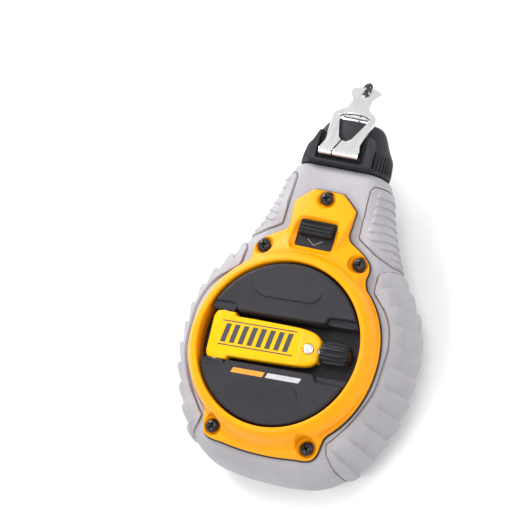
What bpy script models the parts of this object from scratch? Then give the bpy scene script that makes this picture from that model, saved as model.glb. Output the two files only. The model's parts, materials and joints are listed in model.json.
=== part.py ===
"""A chalk line reel lying on its flat back.

The crank's axis is Z and passes through the origin, +Y runs to the nose and the hook, +X is to the right.
Sizes are millimetres here; every mesh is scaled to metres when it is made.
"""

import math

import bmesh
import bpy
from mathutils import Matrix, Vector

MM = 0.001
GAP = 0.3                # between pieces that touch
RUN = 0.05               # radial clearance of a running fit

# Housing
WALL = 2.5
NECK_END = 75.0
BELLY_OUTLINE = [(0, -49.6), (12, -49.0), (22, -46.8), (31, -40.6), (37, -32), (41.5, -22), (44.7, -11)]
NECK_OUTLINE = [(45.5, 2), (45, 14), (41.5, 25.6), (34.6, 36.4), (28.3, 47), (24, 58), (21.4, 68), (19.8, 77)]
CAVITY_SECTION = [(0.0, 8.0), (0.13, 3.4), (0.4, 0.2), (0.7, 0.8), (1.0, 7.4)]
SECTION = [(0.0, 8.0), (0.03, 6.2), (0.13, 3.6), (0.3, 1.0), (0.5, 0.0), (0.7, 0.8), (0.86, 3.2), (0.96, 5.6),
           (1.0, 7.4)]  # share of the height, distance in from the widest outline
OPENING_R = 35.0
COLLAR_R = 37.2
LIP_R = 33.0
LIP_TOP = 27.0

# Front frame
RING_TOP = 46.0
RING_R = 32.5
RING_PROFILE = [(32.5, 45.3), (33.2, 46.0), (34.9, 45.4), (36.9, 42.6), (37.8, 39.5)]
RING_FOOT_R, RING_FOOT_Z = RING_PROFILE[-1]
FRAME_UNDER = 1.25       # frame's underside above the housing's front
FRAME_EDGE = 2.6         # frame's top edge above the housing's front
NECK_PLATE = [(3.3, 64.3), (9.5, 62), (12, 58.5), (12.5, 53), (12.5, 48), (14.5, 46.2), (18, 43.9), (21.5, 41.6),
              (23.8, 38.9), (24.4, 36), (24.1, 33), (24.4, 30.6)]
FOOT_PLATE = [(24.6, -30.2), (24.1, -33), (23.8, -35.6), (22.5, -38.5), (20.3, -39.7), (14.8, -40.3), (10, -41),
              (5, -41.4)]
FRAME_SIDE_R = 38.4
COVER_SCREWS = [(0, 61.0), (20, 38.2), (-20, 38.2), (19.7, -35.5), (-19.7, -35.5)]
SCREW_HEAD_R = 2.6
SCREW_R = 1.2
HOLE_R = 1.5
WINDOW = (7.8, 40.6, 51.4)
BOSS_R = 2.9

# Crank
CRANK_REST = math.radians(3)
DISC_R = 31.7
DISC_TOP = 45.4
DISC_UNDER = 34.6
FLANGE_R = 33.8
FLANGE_TOP = 36.9
CHANNEL_FLOOR = 36.4
CHANNEL_HALF = 10.0
PIN_X, PIN_Z, PIN_R = -24.5, 42.8, 1.5
ARM_LEFT, ARM_RIGHT = -28.5, 16.6
ARM_UNDER, ARM_TOP = 40.9, 45.2
ARM_SLOPE = math.radians(17)
SLOPE_START = 9.0
RIVET_X = 12.2
KNOB_Z, KNOB_R = 41.3, 4.5
KNOB_START, KNOB_END = 17.0, 28.4
SPINDLE_R = 1.5

# Axle, spool and gears
AXLE_R = 3.0
AXLE_START, AXLE_END = 4.1, 36.2
AXLE_FLANGE_R = 7.0
AXLE_SEAT_R = 9.0
BUSH_R = 4.2
SPOOL_R = 27.0
SPOOL_START, SPOOL_END = 5.4, 26.2
HUB_R = 12.0
NECK_R = 4.7
WOUND_R = 24.0
PLATE_R = 34.6
PLATE_BOTTOM, PLATE_TOP = 27.3, 28.8
GEAR_BOTTOM, GEAR_TOP = 29.2, 33.6
MODULE = 1.2
SUN_TEETH, PLANET_TEETH, RING_TEETH = 12, 12, 36
CENTRES = MODULE * (SUN_TEETH + PLANET_TEETH) / 2
RING_GEAR_R = 25.2
PLATE_SCREW_R = 31.3
PLATE_SCREW_ANGLES = [30, 150, 270]

# Nose, hook and line
LINE_R = 0.45
LINE_Z = 26.0
CAP_SECTIONS = [(75.4, 18.5, 14.4, 37.0), (77, 18.6, 14.2, 37.2), (83.6, 17.9, 14.8, 36.6),
                (85.2, 16.2, 15.6, 35.8), (90.0, 12.2, 17.6, 33.4), (93.0, 9.4, 19.0, 32.0),
                (94.0, 8.4, 19.8, 31.2)]  # y, half width, back z, front z
CAP_WALL = 2.2
HOOK_Y, HOOK_Z = 80.0, 39.8
HOOK_SLOPE = 0.43
HOOK_THICK = 1.3
EYE_Y, EYE_R = 108.3, 1.6
KNOT_R = 2.5
KNOT_HALF_WIDTH, KNOT_HALF_DEPTH = 1.1, 0.85
HOOK_OUTLINE = [(8.3, 80.2), (7.4, 84.3), (8.5, 92), (9.3, 96.6), (8.6, 98.4), (4.9, 101.2), (4.0, 105),
                (6.6, 109.2), (3.0, 111.7)]
WINDOW_OUTLINE = [(5.6, 97.0), (5.2, 95.4), (2.6, 87), (1.4, 85.6)]


def smoothstep(value):
    value = min(max(value, 0.0), 1.0)
    return value * value * (3 - 2 * value)


def back_z(y):
    """Height of the housing's back: flat under the reel, rising to the neck."""
    return 14.0 * smoothstep((y - 25) / 50)


def front_z(y):
    """Height of the housing's front: crowned over the crank, nearly level along the neck."""
    crown = 1.9 * (1 + math.cos(math.pi * min(abs(y) / 40, 1)))
    return 33.5 + crown + 1.0 * smoothstep((y - 40) / 35)


def circle(radius, steps, centre=(0, 0), phase=0.0):
    angles = [phase + 2 * math.pi * step / steps for step in range(steps)]
    return [(centre[0] + radius * math.cos(a), centre[1] + radius * math.sin(a)) for a in angles]


def curve_through(points, per_span):
    """Points of a Catmull-Rom curve through the given ones, ends included."""
    ends = [points[0]] + list(points) + [points[-1]]
    found = []
    for before, start, stop, after in zip(ends, ends[1:], ends[2:], ends[3:]):
        for step in range(per_span):
            t = step / per_span
            weights = (-t + 2 * t**2 - t**3, 2 - 5 * t**2 + 3 * t**3, t + 4 * t**2 - 3 * t**3, t**3 - t**2)
            corners = (before, start, stop, after)
            found.append(tuple(sum(w * c[axis] for w, c in zip(weights, corners)) / 2 for axis in (0, 1)))
    found.append(tuple(points[-1]))
    return found


def material(name, colour, roughness, metallic=0.0):
    found = bpy.data.materials.get(name)
    if found:
        return found
    found = bpy.data.materials.new(name)
    found.use_nodes = True
    found.diffuse_color = (*colour, 1.0)
    shader = found.node_tree.nodes["Principled BSDF"]
    shader.inputs["Base Color"].default_value = (*colour, 1.0)
    shader.inputs["Roughness"].default_value = roughness
    shader.inputs["Metallic"].default_value = metallic
    return found


def solid(name, mesh, look, origin=(0, 0, 0), parent=None, cutter=False):
    """A named object from a bmesh in millimetres, its origin at the given point."""
    bmesh.ops.translate(mesh, verts=mesh.verts, vec=-Vector(origin))
    bmesh.ops.scale(mesh, verts=mesh.verts, vec=(MM, MM, MM))
    bmesh.ops.recalc_face_normals(mesh, faces=mesh.faces)
    data = bpy.data.meshes.new(name)
    mesh.to_mesh(data)
    mesh.free()
    obj = bpy.data.objects.new(name, data)
    obj.location = Vector(origin) * MM
    obj.parent = parent
    bpy.context.scene.collection.objects.link(obj)
    if cutter:
        obj.hide_render = True
        obj.display_type = "WIRE"
    else:
        data.materials.append(look)
        data.shade_smooth()
        data.set_sharp_from_angle(angle=math.radians(35))
    return obj


def combine(target, other, operation):
    modifier = target.modifiers.new(other.name, "BOOLEAN")
    modifier.operation = operation
    modifier.object = other
    modifier.solver = "EXACT"


def cut(target, name, mesh, parent=None):
    tool = solid(f"{target.name}_{name}_cutter", mesh, None, parent=parent, cutter=True)
    combine(target, tool, "DIFFERENCE")


def add(target, name, mesh, parent=None):
    combine(target, solid(f"{target.name}_{name}_piece", mesh, None, parent=parent, cutter=True), "UNION")


def stack(rings, closed=False):
    """A bmesh of equal rings of points joined one to the next; open stacks get flat ends."""
    mesh = bmesh.new()
    rows = [[mesh.verts.new(point) for point in ring] for ring in rings]
    steps = len(rings[0])
    for lower, upper in zip(rows, rows[1:] + (rows[:1] if closed else [])):
        for k in range(steps):
            after = (k + 1) % steps
            mesh.faces.new((lower[k], lower[after], upper[after], upper[k]))
    if not closed:
        mesh.faces.new(rows[0])
        mesh.faces.new(rows[-1])
    return mesh


def turned(profile, steps=32, closed=False, centre=(0, 0)):
    """A profile of (radius, height) turned about an upright axis; closed for a ring, else capped flat."""
    return stack([[(x, y, z) for x, y in circle(r, steps, centre)] for r, z in profile], closed)


def prism(outline, bottom, top):
    return stack([[(x, y, bottom) for x, y in outline], [(x, y, top) for x, y in outline]])


def holed_prism(outline, hole, bottom, top):
    """A prism with a hole whose outline has as many points as the outer one."""
    rings = [(outline, bottom), (outline, top), (hole, top), (hole, bottom)]
    return stack([[(x, y, z) for x, y in points] for points, z in rings], closed=True)


def box(low, high):
    corners = [(low[0], low[1]), (high[0], low[1]), (high[0], high[1]), (low[0], high[1])]
    return prism(corners, low[2], high[2])


def turn(mesh, angle, axis, centre=(0, 0, 0)):
    bmesh.ops.rotate(mesh, verts=mesh.verts, cent=centre, matrix=Matrix.Rotation(angle, 3, axis))
    return mesh


def joined(meshes):
    """One bmesh of several separate bodies."""
    whole = bmesh.new()
    for mesh in meshes:
        data = bpy.data.meshes.new("joined")
        mesh.to_mesh(data)
        mesh.free()
        whole.from_mesh(data)
        bpy.data.meshes.remove(data)
    return whole


def along_x(mesh):
    """Lays a piece turned about Z along +X, its height becoming x."""
    return turn(mesh, math.radians(90), "Y")


def along_y(mesh):
    """Lays a piece turned about Z along +Y, its height becoming y."""
    return turn(mesh, math.radians(-90), "X")


def mirrored(half):
    """A whole outline from its right half, top to bottom, turned anticlockwise."""
    left = [(-x, y) for x, y in half if x > 0.01]
    return [point for point in reversed(half)] + left


def housing_half(per_span):
    """Right half of the housing's widest outline, from its foot to past the neck's end."""
    return curve_through(BELLY_OUTLINE + NECK_OUTLINE, per_span) + [(19.2, 84), (18.6, 92)]


def inset_points(half, distance):
    """The half outline moved inward by a distance, its ends kept on their lines."""
    found = []
    for index, (x, y) in enumerate(half):
        before = half[max(index - 1, 0)]
        after = half[min(index + 1, len(half) - 1)]
        along = Vector((after[0] - before[0], after[1] - before[1])).normalized()
        if index == 0:
            along = Vector((1, 0))
        if index == len(half) - 1:
            along = Vector((0, 1))
        found.append((max(x - along.y * distance, 0.0), y + along.x * distance))
    found[0] = (0.0, found[0][1])
    return found


def pillow(margin, section, per_span):
    """The housing's outer shape moved inward by a margin; its broad faces follow back_z and front_z."""
    mesh = bmesh.new()
    half = housing_half(per_span)
    last = len(half) - 1
    rows = []
    for height, inset in section:
        right = []
        left = []
        for index, (x, y) in enumerate(inset_points(half, inset + margin)):
            low = back_z(y) + margin
            high = front_z(y) - margin
            z = low + (high - low) * height
            right.append(mesh.verts.new((x, y, z)))
            left.append(right[-1] if index == 0 else mesh.verts.new((-x, y, z)))
        rows.append((right, left))
    for (right, left), (right_up, left_up) in zip(rows, rows[1:]):
        for k in range(last):
            mesh.faces.new((right[k], right[k + 1], right_up[k + 1], right_up[k]))
            mesh.faces.new((left[k + 1], left[k], left_up[k], left_up[k + 1]))
        mesh.faces.new((right[last], left[last], left_up[last], right_up[last]))
    for right, left in (rows[0], rows[-1]):
        mesh.faces.new((right[0], right[1], left[1]))
        for k in range(1, last):
            mesh.faces.new((right[k], right[k + 1], left[k + 1], left[k]))
    return mesh


def collar():
    """The wall inside the front opening that carries the gear plate."""
    steps = 48
    inner = circle(OPENING_R, steps)
    outer = circle(COLLAR_R, steps)
    lip = circle(LIP_R, steps)
    rings = [
        [(x, y, LIP_TOP - 2) for x, y in lip],
        [(x, y, LIP_TOP) for x, y in lip],
        [(x, y, LIP_TOP) for x, y in inner],
        [(x, y, front_z(y) - 1.2) for x, y in inner],
        [(x, y, front_z(y) - 1.2) for x, y in outer],
        [(x, y, LIP_TOP - 2) for x, y in outer],
    ]
    return stack(rings, closed=True)


def plate_screw_places():
    angles = [math.radians(a) for a in PLATE_SCREW_ANGLES]
    return [(PLATE_SCREW_R * math.cos(a), PLATE_SCREW_R * math.sin(a)) for a in angles]


def make_housing(grey):
    housing = solid("housing", pillow(0, SECTION, 2), grey)
    cut(housing, "cavity", pillow(WALL, CAVITY_SECTION, 1))
    cut(housing, "opening", prism(circle(OPENING_R, 48), 29, 50))
    add(housing, "collar", collar())
    posts = []
    for x, y in plate_screw_places():
        posts.append(prism(circle(2.7, 12, (x, y)), back_z(y) + 1, LIP_TOP))
    for x, y in COVER_SCREWS:
        posts.append(prism(circle(BOSS_R, 12, (x, y)), 27.5, front_z(y) - 0.8))
    add(housing, "posts", joined(posts))
    seat_floor = AXLE_START - GAP
    seat_r = AXLE_FLANGE_R + GAP
    seat = [(AXLE_SEAT_R, 1), (AXLE_SEAT_R, 5), (seat_r, 5), (seat_r, seat_floor), (1, seat_floor)]
    add(housing, "axle_seat", turned(seat, 24))
    holes = [prism(circle(HOLE_R, 12, place), 16, LIP_TOP + 3) for place in plate_screw_places()]
    for x, y in COVER_SCREWS:
        holes.append(prism(circle(HOLE_R, 12, (x, y)), 26, front_z(y) + 5))
    cut(housing, "screw_holes", joined(holes))
    cut(housing, "neck_end", box((-40, NECK_END, -10), (40, 120, 70)))
    return housing


def frame_outline():
    """The frame's whole outline, anticlockwise from the foot of the right side."""
    side_top = math.atan2(NECK_PLATE[-1][1], NECK_PLATE[-1][0]) - 0.07
    side_foot = math.atan2(FOOT_PLATE[0][1], FOOT_PLATE[0][0]) + 0.07
    steps = 14
    angles = [side_top + (side_foot - side_top) * k / steps for k in range(steps + 1)]
    side = [(FRAME_SIDE_R * math.cos(a), FRAME_SIDE_R * math.sin(a)) for a in angles]
    half = [(0.0, 64.3)] + NECK_PLATE + side + FOOT_PLATE + [(0.0, -41.5)]
    return mirrored(half)


def ring_at(outline, radius):
    """The points of a circle that lie in the same directions as an outline's points."""
    return [tuple(Vector(point).normalized() * radius) for point in outline]


def grown(outline, distance):
    return [tuple(Vector(point) * (1 + distance / Vector(point).length)) for point in outline]


def make_front_frame(amber):
    outline = frame_outline()
    rings = [[(x, y, z) for x, y in ring_at(outline, r)] for r, z in RING_PROFILE]
    foot = ring_at(outline, RING_FOOT_R)
    for share in (0.5, 1.0):
        row = []
        for (x0, y0), (x1, y1) in zip(foot, grown(outline, -0.6 if share == 1 else 0)):
            x = x0 + (x1 - x0) * share
            y = y0 + (y1 - y0) * share
            edge = front_z(y1) + FRAME_EDGE
            row.append((x, y, RING_FOOT_Z + (edge - RING_FOOT_Z) * share**1.5))
        rings.append(row)
    rings.append([(x, y, front_z(y) + FRAME_EDGE - 0.5) for x, y in outline])
    rings.append([(x, y, front_z(y) + FRAME_UNDER) for x, y in outline])
    rings.append([(x, y, front_z(y) + FRAME_UNDER) for x, y in ring_at(outline, 36.2)])
    rings.append([(x, y, max(front_z(y) + FRAME_UNDER, 37.5)) for x, y in ring_at(outline, 35.2)])
    rings.append([(x, y, 37.5) for x, y in ring_at(outline, RING_R)])
    frame = solid("front_frame", stack(rings, closed=True), amber)
    half_width, low, high = WINDOW
    cut(frame, "slider_bay", box((-10.3, 33.6, 33), (10.3, 57.0, 37.4)))
    cut(frame, "window", box((-half_width, low, 36), (half_width, high, 50)))
    holes = []
    for x, y in COVER_SCREWS:
        holes.append(prism(circle(HOLE_R, 12, (x, y)), 30, 50))
        holes.append(prism(circle(SCREW_HEAD_R + GAP, 20, (x, y)), front_z(y) + FRAME_UNDER + 1.0, 50))
    for start in (0, 1):
        cut(frame, f"screw_holes_{start}", joined(holes[start::2]))
    return frame


def make_cover_gasket(rubber):
    outline = frame_outline()
    outer = grown(outline, 0.35)
    inner = ring_at(outline, 35.6)
    rings = []
    for points, rise in ((outer, GAP), (outer, 0.95), (inner, 0.95), (inner, GAP)):
        rings.append([(x, y, front_z(y) + rise) for x, y in points])
    gasket = solid("cover_gasket", stack(rings, closed=True), rubber)
    holes = [prism(circle(HOLE_R, 12, place), 30, 50) for place in COVER_SCREWS]
    holes.append(box((-10.6, 33, 30), (10.6, 57.3, 50)))
    cut(gasket, "holes", joined(holes))
    return gasket


def screw(place, under_head, head_r, head_height, tip):
    """A screw from its tip up to its domed head, standing at a place."""
    profile = [(SCREW_R * 0.5, tip), (SCREW_R, tip + 0.8), (SCREW_R, under_head), (head_r, under_head)]
    profile += [(head_r, under_head + head_height * 0.55), (head_r * 0.7, under_head + head_height)]
    return turned(profile, 14, centre=place)


def make_screws(black, steel):
    for index, place in enumerate(COVER_SCREWS):
        under_head = front_z(place[1]) + FRAME_UNDER + 1.0 + GAP
        solid(f"cover_screw_{index + 1}", screw(place, under_head, SCREW_HEAD_R, 1.6, 28.0), black)
    for index, place in enumerate(plate_screw_places()):
        solid(f"gear_plate_screw_{index + 1}", screw(place, PLATE_TOP + GAP, 2.3, 1.6, 17.0), steel)


def make_lock(dark, spring_steel):
    """Slider under the window with a ribbed thumb piece and a tongue, and the leaf that steadies it."""
    button = solid("lock_button", box((-9.0, 38.4, 35.6), (9.0, 53.6, 36.9)), dark, origin=(0, 46, 36))
    add(button, "thumb", box((-7.0, 44.9, 36.5), (7.0, 51.0, 40.4)))
    add(button, "tongue", box((-3.0, 38.1, 35.6), (3.0, 39.0, 36.9)))
    ribs = [box((-8.0, y, 40.0), (8.0, y + 0.6, 42.0)) for y in (45.8, 47.3, 48.8)]
    cut(button, "ribs", joined(ribs))
    leaf = curve_through([(-8, 56.3), (-4, 55.2), (0, 54.6), (4, 55.2), (8, 56.3)], 3)
    outline = leaf + [(x, y + 0.35) for x, y in reversed(leaf)]
    solid("lock_spring", prism(outline, 35.7, 36.8), spring_steel)


def disc_half(inner, radius, steps=14):
    """A D-shaped outline: the part of a circle above a chord at y = inner."""
    start = math.asin(inner / radius)
    angles = [start + (math.pi - 2 * start) * k / steps for k in range(steps + 1)]
    return [(radius * math.cos(a), radius * math.sin(a)) for a in angles]


def make_crank_disc(charcoal, crank):
    profile = [(AXLE_R + RUN, DISC_UNDER), (FLANGE_R, DISC_UNDER), (FLANGE_R, FLANGE_TOP), (DISC_R, FLANGE_TOP)]
    profile += [(DISC_R, DISC_TOP - 0.8), (DISC_R - 0.8, DISC_TOP), (AXLE_R + RUN, DISC_TOP)]
    disc = solid("crank_disc", turned(profile, 56, closed=True), charcoal, parent=crank)
    cut(disc, "channel", box((-40, -CHANNEL_HALF, CHANNEL_FLOOR), (40, CHANNEL_HALF, 60)), crank)
    hollow = disc_half(12.6, 29.6)
    lower = [(x, -y) for x, y in reversed(hollow)]
    cut(disc, "hollows", joined([prism(hollow, 30, 43.2), prism(lower, 30, 43.2)]), crank)
    pin = turned([(PIN_R + GAP, -11.9), (PIN_R + GAP, 11.9)], 16)
    pin = along_y(pin)
    bmesh.ops.translate(pin, verts=pin.verts, vec=(PIN_X, 0, PIN_Z))
    cut(disc, "pin_seats", pin, crank)
    for side in (1, -1):
        relief = [(-17, 24.6), (-12.5, 17.6), (10, 17.6), (14.5, 24.6)]
        points = [(x, side * y) for x, y in relief]
        add(disc, f"relief_{side}", prism(points[::side], DISC_TOP - 1, DISC_TOP + 0.5), crank)
    return disc


def make_crank_arm(yellow, crank):
    arm_axis = bpy.data.objects.new("arm_axis", None)
    bpy.context.scene.collection.objects.link(arm_axis)
    arm_axis.parent = crank
    arm_axis.location = Vector((PIN_X, 0, PIN_Z)) * MM
    half = [(ARM_LEFT, 9.2), (-19.6, 9.2), (-18.6, 8.1), (6, 7.4), (12, 7.0), (15.2, 5.4), (ARM_RIGHT, 2.6)]
    outline = [(x, -y) for x, y in half] + [(x, y) for x, y in reversed(half)]
    moved = Vector((-PIN_X, 0, -PIN_Z))

    def shifted(mesh):
        bmesh.ops.translate(mesh, verts=mesh.verts, vec=moved)
        return mesh

    arm = solid("crank_arm", shifted(prism(outline, ARM_UNDER, ARM_TOP)), yellow, parent=arm_axis)
    nose = box((11.2, -5.0, KNOB_Z - 4.0), (ARM_RIGHT - 0.2, 5.0, ARM_TOP - 2.5))
    add(arm, "end_block", shifted(nose), arm_axis)
    slope = box((SLOPE_START, -12, 0), (30, 12, 10))
    slope = turn(slope, ARM_SLOPE, "Y", (SLOPE_START, 0, 0))
    bmesh.ops.translate(slope, verts=slope.verts, vec=(0, 0, ARM_TOP))
    cut(arm, "slope", shifted(slope), arm_axis)
    bore = along_y(turned([(PIN_R + RUN, -15), (PIN_R + RUN, 15)], 24))
    cut(arm, "bore", bore, arm_axis)
    seat = along_x(turned([(SPINDLE_R + GAP, 12.4), (SPINDLE_R + GAP, 30)], 16))
    bmesh.ops.translate(seat, verts=seat.verts, vec=(0, 0, KNOB_Z))
    cut(arm, "spindle_seat", shifted(seat), arm_axis)
    rivet_seat = shifted(arm_rivet(GAP, 4.0))
    cut(arm, "rivet_seat", rivet_seat, arm_axis)
    return arm_axis, shifted


def arm_rivet(extra, above):
    """The rivet square to the arm's sloped end; extra grows it into the seat that it needs."""
    profile = [(1.0 + extra, -2.0 - extra), (1.0 + extra, -0.7 - extra), (1.9 + extra, -0.7 - extra)]
    profile += [(1.9 + extra, above)]
    mesh = turn(turned(profile, 16), ARM_SLOPE, "Y")
    drop = (RIVET_X - SLOPE_START) * math.tan(ARM_SLOPE)
    bmesh.ops.translate(mesh, verts=mesh.verts, vec=(RIVET_X, 0, ARM_TOP - drop))
    return mesh


def make_arm_fittings(arm_axis, shifted, steel, black):
    solid("arm_rivet", shifted(arm_rivet(0.0, 0.35)), steel, parent=arm_axis)
    spindle = along_x(turned([(SPINDLE_R, 12.8), (SPINDLE_R, 27.0), (2.4, 27.0), (2.4, 27.8)], 20))
    bmesh.ops.translate(spindle, verts=spindle.verts, vec=(0, 0, KNOB_Z))
    solid("knob_spindle", shifted(spindle), steel, parent=arm_axis)
    inner = SPINDLE_R + RUN
    outer = [(inner, KNOB_START), (KNOB_R - 0.8, KNOB_START), (KNOB_R, KNOB_START + 1.4)]
    outer += [(KNOB_R, KNOB_END - 2.2), (KNOB_R - 1.2, KNOB_END - 0.3), (KNOB_R - 1.8, KNOB_END)]
    outer += [(2.5, KNOB_END), (2.5, 26.8), (inner, 26.8)]
    knob = along_x(turned(outer, 24, closed=True))
    bmesh.ops.translate(knob, verts=knob.verts, vec=(0, 0, KNOB_Z))
    start = Vector((KNOB_START, 0, KNOB_Z)) + Vector((-PIN_X, 0, -PIN_Z))
    solid("crank_knob", shifted(knob), black, origin=start, parent=arm_axis)


def make_crank(looks):
    crank = bpy.data.objects.new("crank_axis", None)
    bpy.context.scene.collection.objects.link(crank)
    crank.rotation_euler = (0, 0, CRANK_REST)
    make_crank_disc(looks["charcoal"], crank)
    arm_axis, shifted = make_crank_arm(looks["yellow"], crank)
    make_arm_fittings(arm_axis, shifted, looks["steel"], looks["black"])
    pin = along_y(turned([(PIN_R, -11.6), (PIN_R, 11.6)], 24))
    bmesh.ops.translate(pin, verts=pin.verts, vec=(PIN_X, 0, PIN_Z))
    solid("arm_hinge_pin", pin, looks["steel"], parent=crank)
    washer = turned([(SCREW_R + GAP, 36.7), (6, 36.7), (6, 37.4), (SCREW_R + GAP, 37.4)], 24, closed=True)
    solid("crank_washer", washer, looks["steel"], parent=crank)
    centre_screw = screw((0, 0), 37.7, 4.0, 2.2, 24.0)
    solid("crank_screw", centre_screw, looks["steel"], parent=crank)


def tooth_outline(teeth, outward, phase):
    """A gear's outline: straight-flanked stub teeth, thinner than their gaps by the backlash."""
    pitch = MODULE * teeth / 2
    tip = pitch + outward * 0.72 * MODULE
    root = pitch - outward * 1.05 * MODULE
    step = 2 * math.pi / teeth
    half_tip = 0.40 * MODULE / tip
    half_root = 1.02 * MODULE / root
    points = []
    for tooth in range(teeth):
        middle = phase + tooth * step
        for radius, side in ((root, -half_root), (tip, -half_tip), (tip, half_tip), (root, half_root)):
            points.append((radius * math.cos(middle + side), radius * math.sin(middle + side)))
    return points


def hole_to_match(outline, radius, centre=(0, 0)):
    around = [Vector(point) - Vector(centre) for point in outline]
    return [tuple(Vector(centre) + point.normalized() * radius) for point in around]


def planet_centre(index):
    angle = math.radians(120 * index)
    return (CENTRES * math.cos(angle), CENTRES * math.sin(angle))


def make_gears(looks):
    ring = tooth_outline(RING_TEETH, -1, 0.0)
    around = hole_to_match(ring, RING_GEAR_R)
    solid("ring_gear", holed_prism(around, ring, GEAR_BOTTOM, DISC_UNDER - GAP), looks["nylon"])
    sun = tooth_outline(SUN_TEETH, 1, 0.0)
    sun_wheel = holed_prism(sun, hole_to_match(sun, NECK_R + GAP), GEAR_BOTTOM, GEAR_TOP)
    solid("sun_gear", sun_wheel, looks["steel"])
    for index in range(3):
        centre = planet_centre(index)
        teeth = tooth_outline(PLANET_TEETH, 1, math.pi / PLANET_TEETH)
        outline = [(x + centre[0], y + centre[1]) for x, y in teeth]
        hole = hole_to_match(outline, PIN_R + RUN, centre)
        wheel = holed_prism(outline, hole, GEAR_BOTTOM, GEAR_TOP)
        solid(f"planet_gear_{index + 1}", wheel, looks["nylon"], origin=(*centre, GEAR_BOTTOM))
        pin = prism(circle(PIN_R, 24, centre), PLATE_BOTTOM, GEAR_TOP + 0.6)
        solid(f"planet_pin_{index + 1}", pin, looks["steel"])


def make_gear_plate(looks):
    inner = NECK_R + 0.4
    profile = [(inner, PLATE_BOTTOM), (PLATE_R, PLATE_BOTTOM), (PLATE_R, PLATE_TOP), (inner, PLATE_TOP)]
    plate = solid("gear_plate", turned(profile, 36, closed=True), looks["nylon"])
    holes = [prism(circle(HOLE_R, 12, place), 20, 40) for place in plate_screw_places()]
    holes += [prism(circle(PIN_R + GAP, 16, planet_centre(index)), 20, 40) for index in range(3)]
    cut(plate, "holes", joined(holes))
    top = DISC_UNDER - GAP
    seal = turned([(26.0, PLATE_TOP + GAP), (28.3, PLATE_TOP + GAP), (28.3, top), (26.0, top)], closed=True)
    solid("dust_seal", seal, looks["felt"])


def make_spool(looks):
    axle = turned([(HOLE_R, AXLE_START), (AXLE_FLANGE_R, AXLE_START), (AXLE_FLANGE_R, AXLE_START + 1),
                   (AXLE_R, AXLE_START + 1), (AXLE_R, AXLE_END), (HOLE_R, AXLE_END)], closed=True)
    solid("main_axle", axle, looks["steel"])
    spool = turned([(BUSH_R + GAP, SPOOL_START), (SPOOL_R, SPOOL_START), (SPOOL_R, SPOOL_START + 1.4),
                    (HUB_R, SPOOL_START + 1.4), (HUB_R, SPOOL_END - 1.4), (SPOOL_R, SPOOL_END - 1.4),
                    (SPOOL_R, SPOOL_END), (NECK_R, SPOOL_END), (NECK_R, GEAR_TOP + 0.3), (3.4, GEAR_TOP + 0.3),
                    (3.4, 24.4), (BUSH_R + GAP, 24.4)], closed=True)
    solid("spool", spool, looks["nylon"])
    inner = AXLE_R + RUN
    bush = turned([(inner, SPOOL_START), (BUSH_R, SPOOL_START), (BUSH_R, 24.1), (inner, 24.1)], closed=True)
    solid("spool_bush", bush, looks["brass"])
    low = SPOOL_START + 1.4 + GAP
    high = SPOOL_END - 1.4 - GAP
    winding = turned([(HUB_R + GAP, low), (WOUND_R, low), (WOUND_R, high), (HUB_R + GAP, high)], closed=True)
    solid("line_winding", winding, looks["line"])


def tube(name, points, look):
    """A round tube along points in millimetres, as a curve object with filled ends."""
    data = bpy.data.curves.new(name, "CURVE")
    data.dimensions = "3D"
    data.bevel_depth = LINE_R * MM
    data.bevel_resolution = 2
    data.use_fill_caps = True
    spline = data.splines.new("POLY")
    spline.points.add(len(points) - 1)
    for place, point in zip(spline.points, points):
        place.co = (*(Vector(point) * MM), 1.0)
    data.materials.append(look)
    obj = bpy.data.objects.new(name, data)
    bpy.context.scene.collection.objects.link(obj)
    return obj


def make_line(looks):
    """The line leaves the winding as a tangent, runs up the neck, and leads out through the eyelet."""
    clear = WOUND_R + GAP + LINE_R
    neck = Vector((0, 69, LINE_Z))
    lean = math.pi / 2 + math.acos(clear / neck.y)
    start = Vector((clear * math.cos(lean), clear * math.sin(lean), 15.5))
    tube("line_run", [start.lerp(neck, k / 8) for k in range(9)], looks["line"])
    tube("line_lead", [(0, 69.5 + 34.0 * k / 8, LINE_Z) for k in range(9)], looks["line"])


def rounded_section(half_width, low, high, y, power=3.2, steps=28):
    """A rounded-box ring in an upright plane across the neck."""
    middle = (low + high) / 2
    points = []
    for k in range(steps):
        angle = 2 * math.pi * k / steps
        across = math.copysign(abs(math.cos(angle)) ** (2 / power), math.cos(angle))
        up = math.copysign(abs(math.sin(angle)) ** (2 / power), math.sin(angle))
        points.append((half_width * across, y, middle + (high - low) / 2 * up))
    return points


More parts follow.
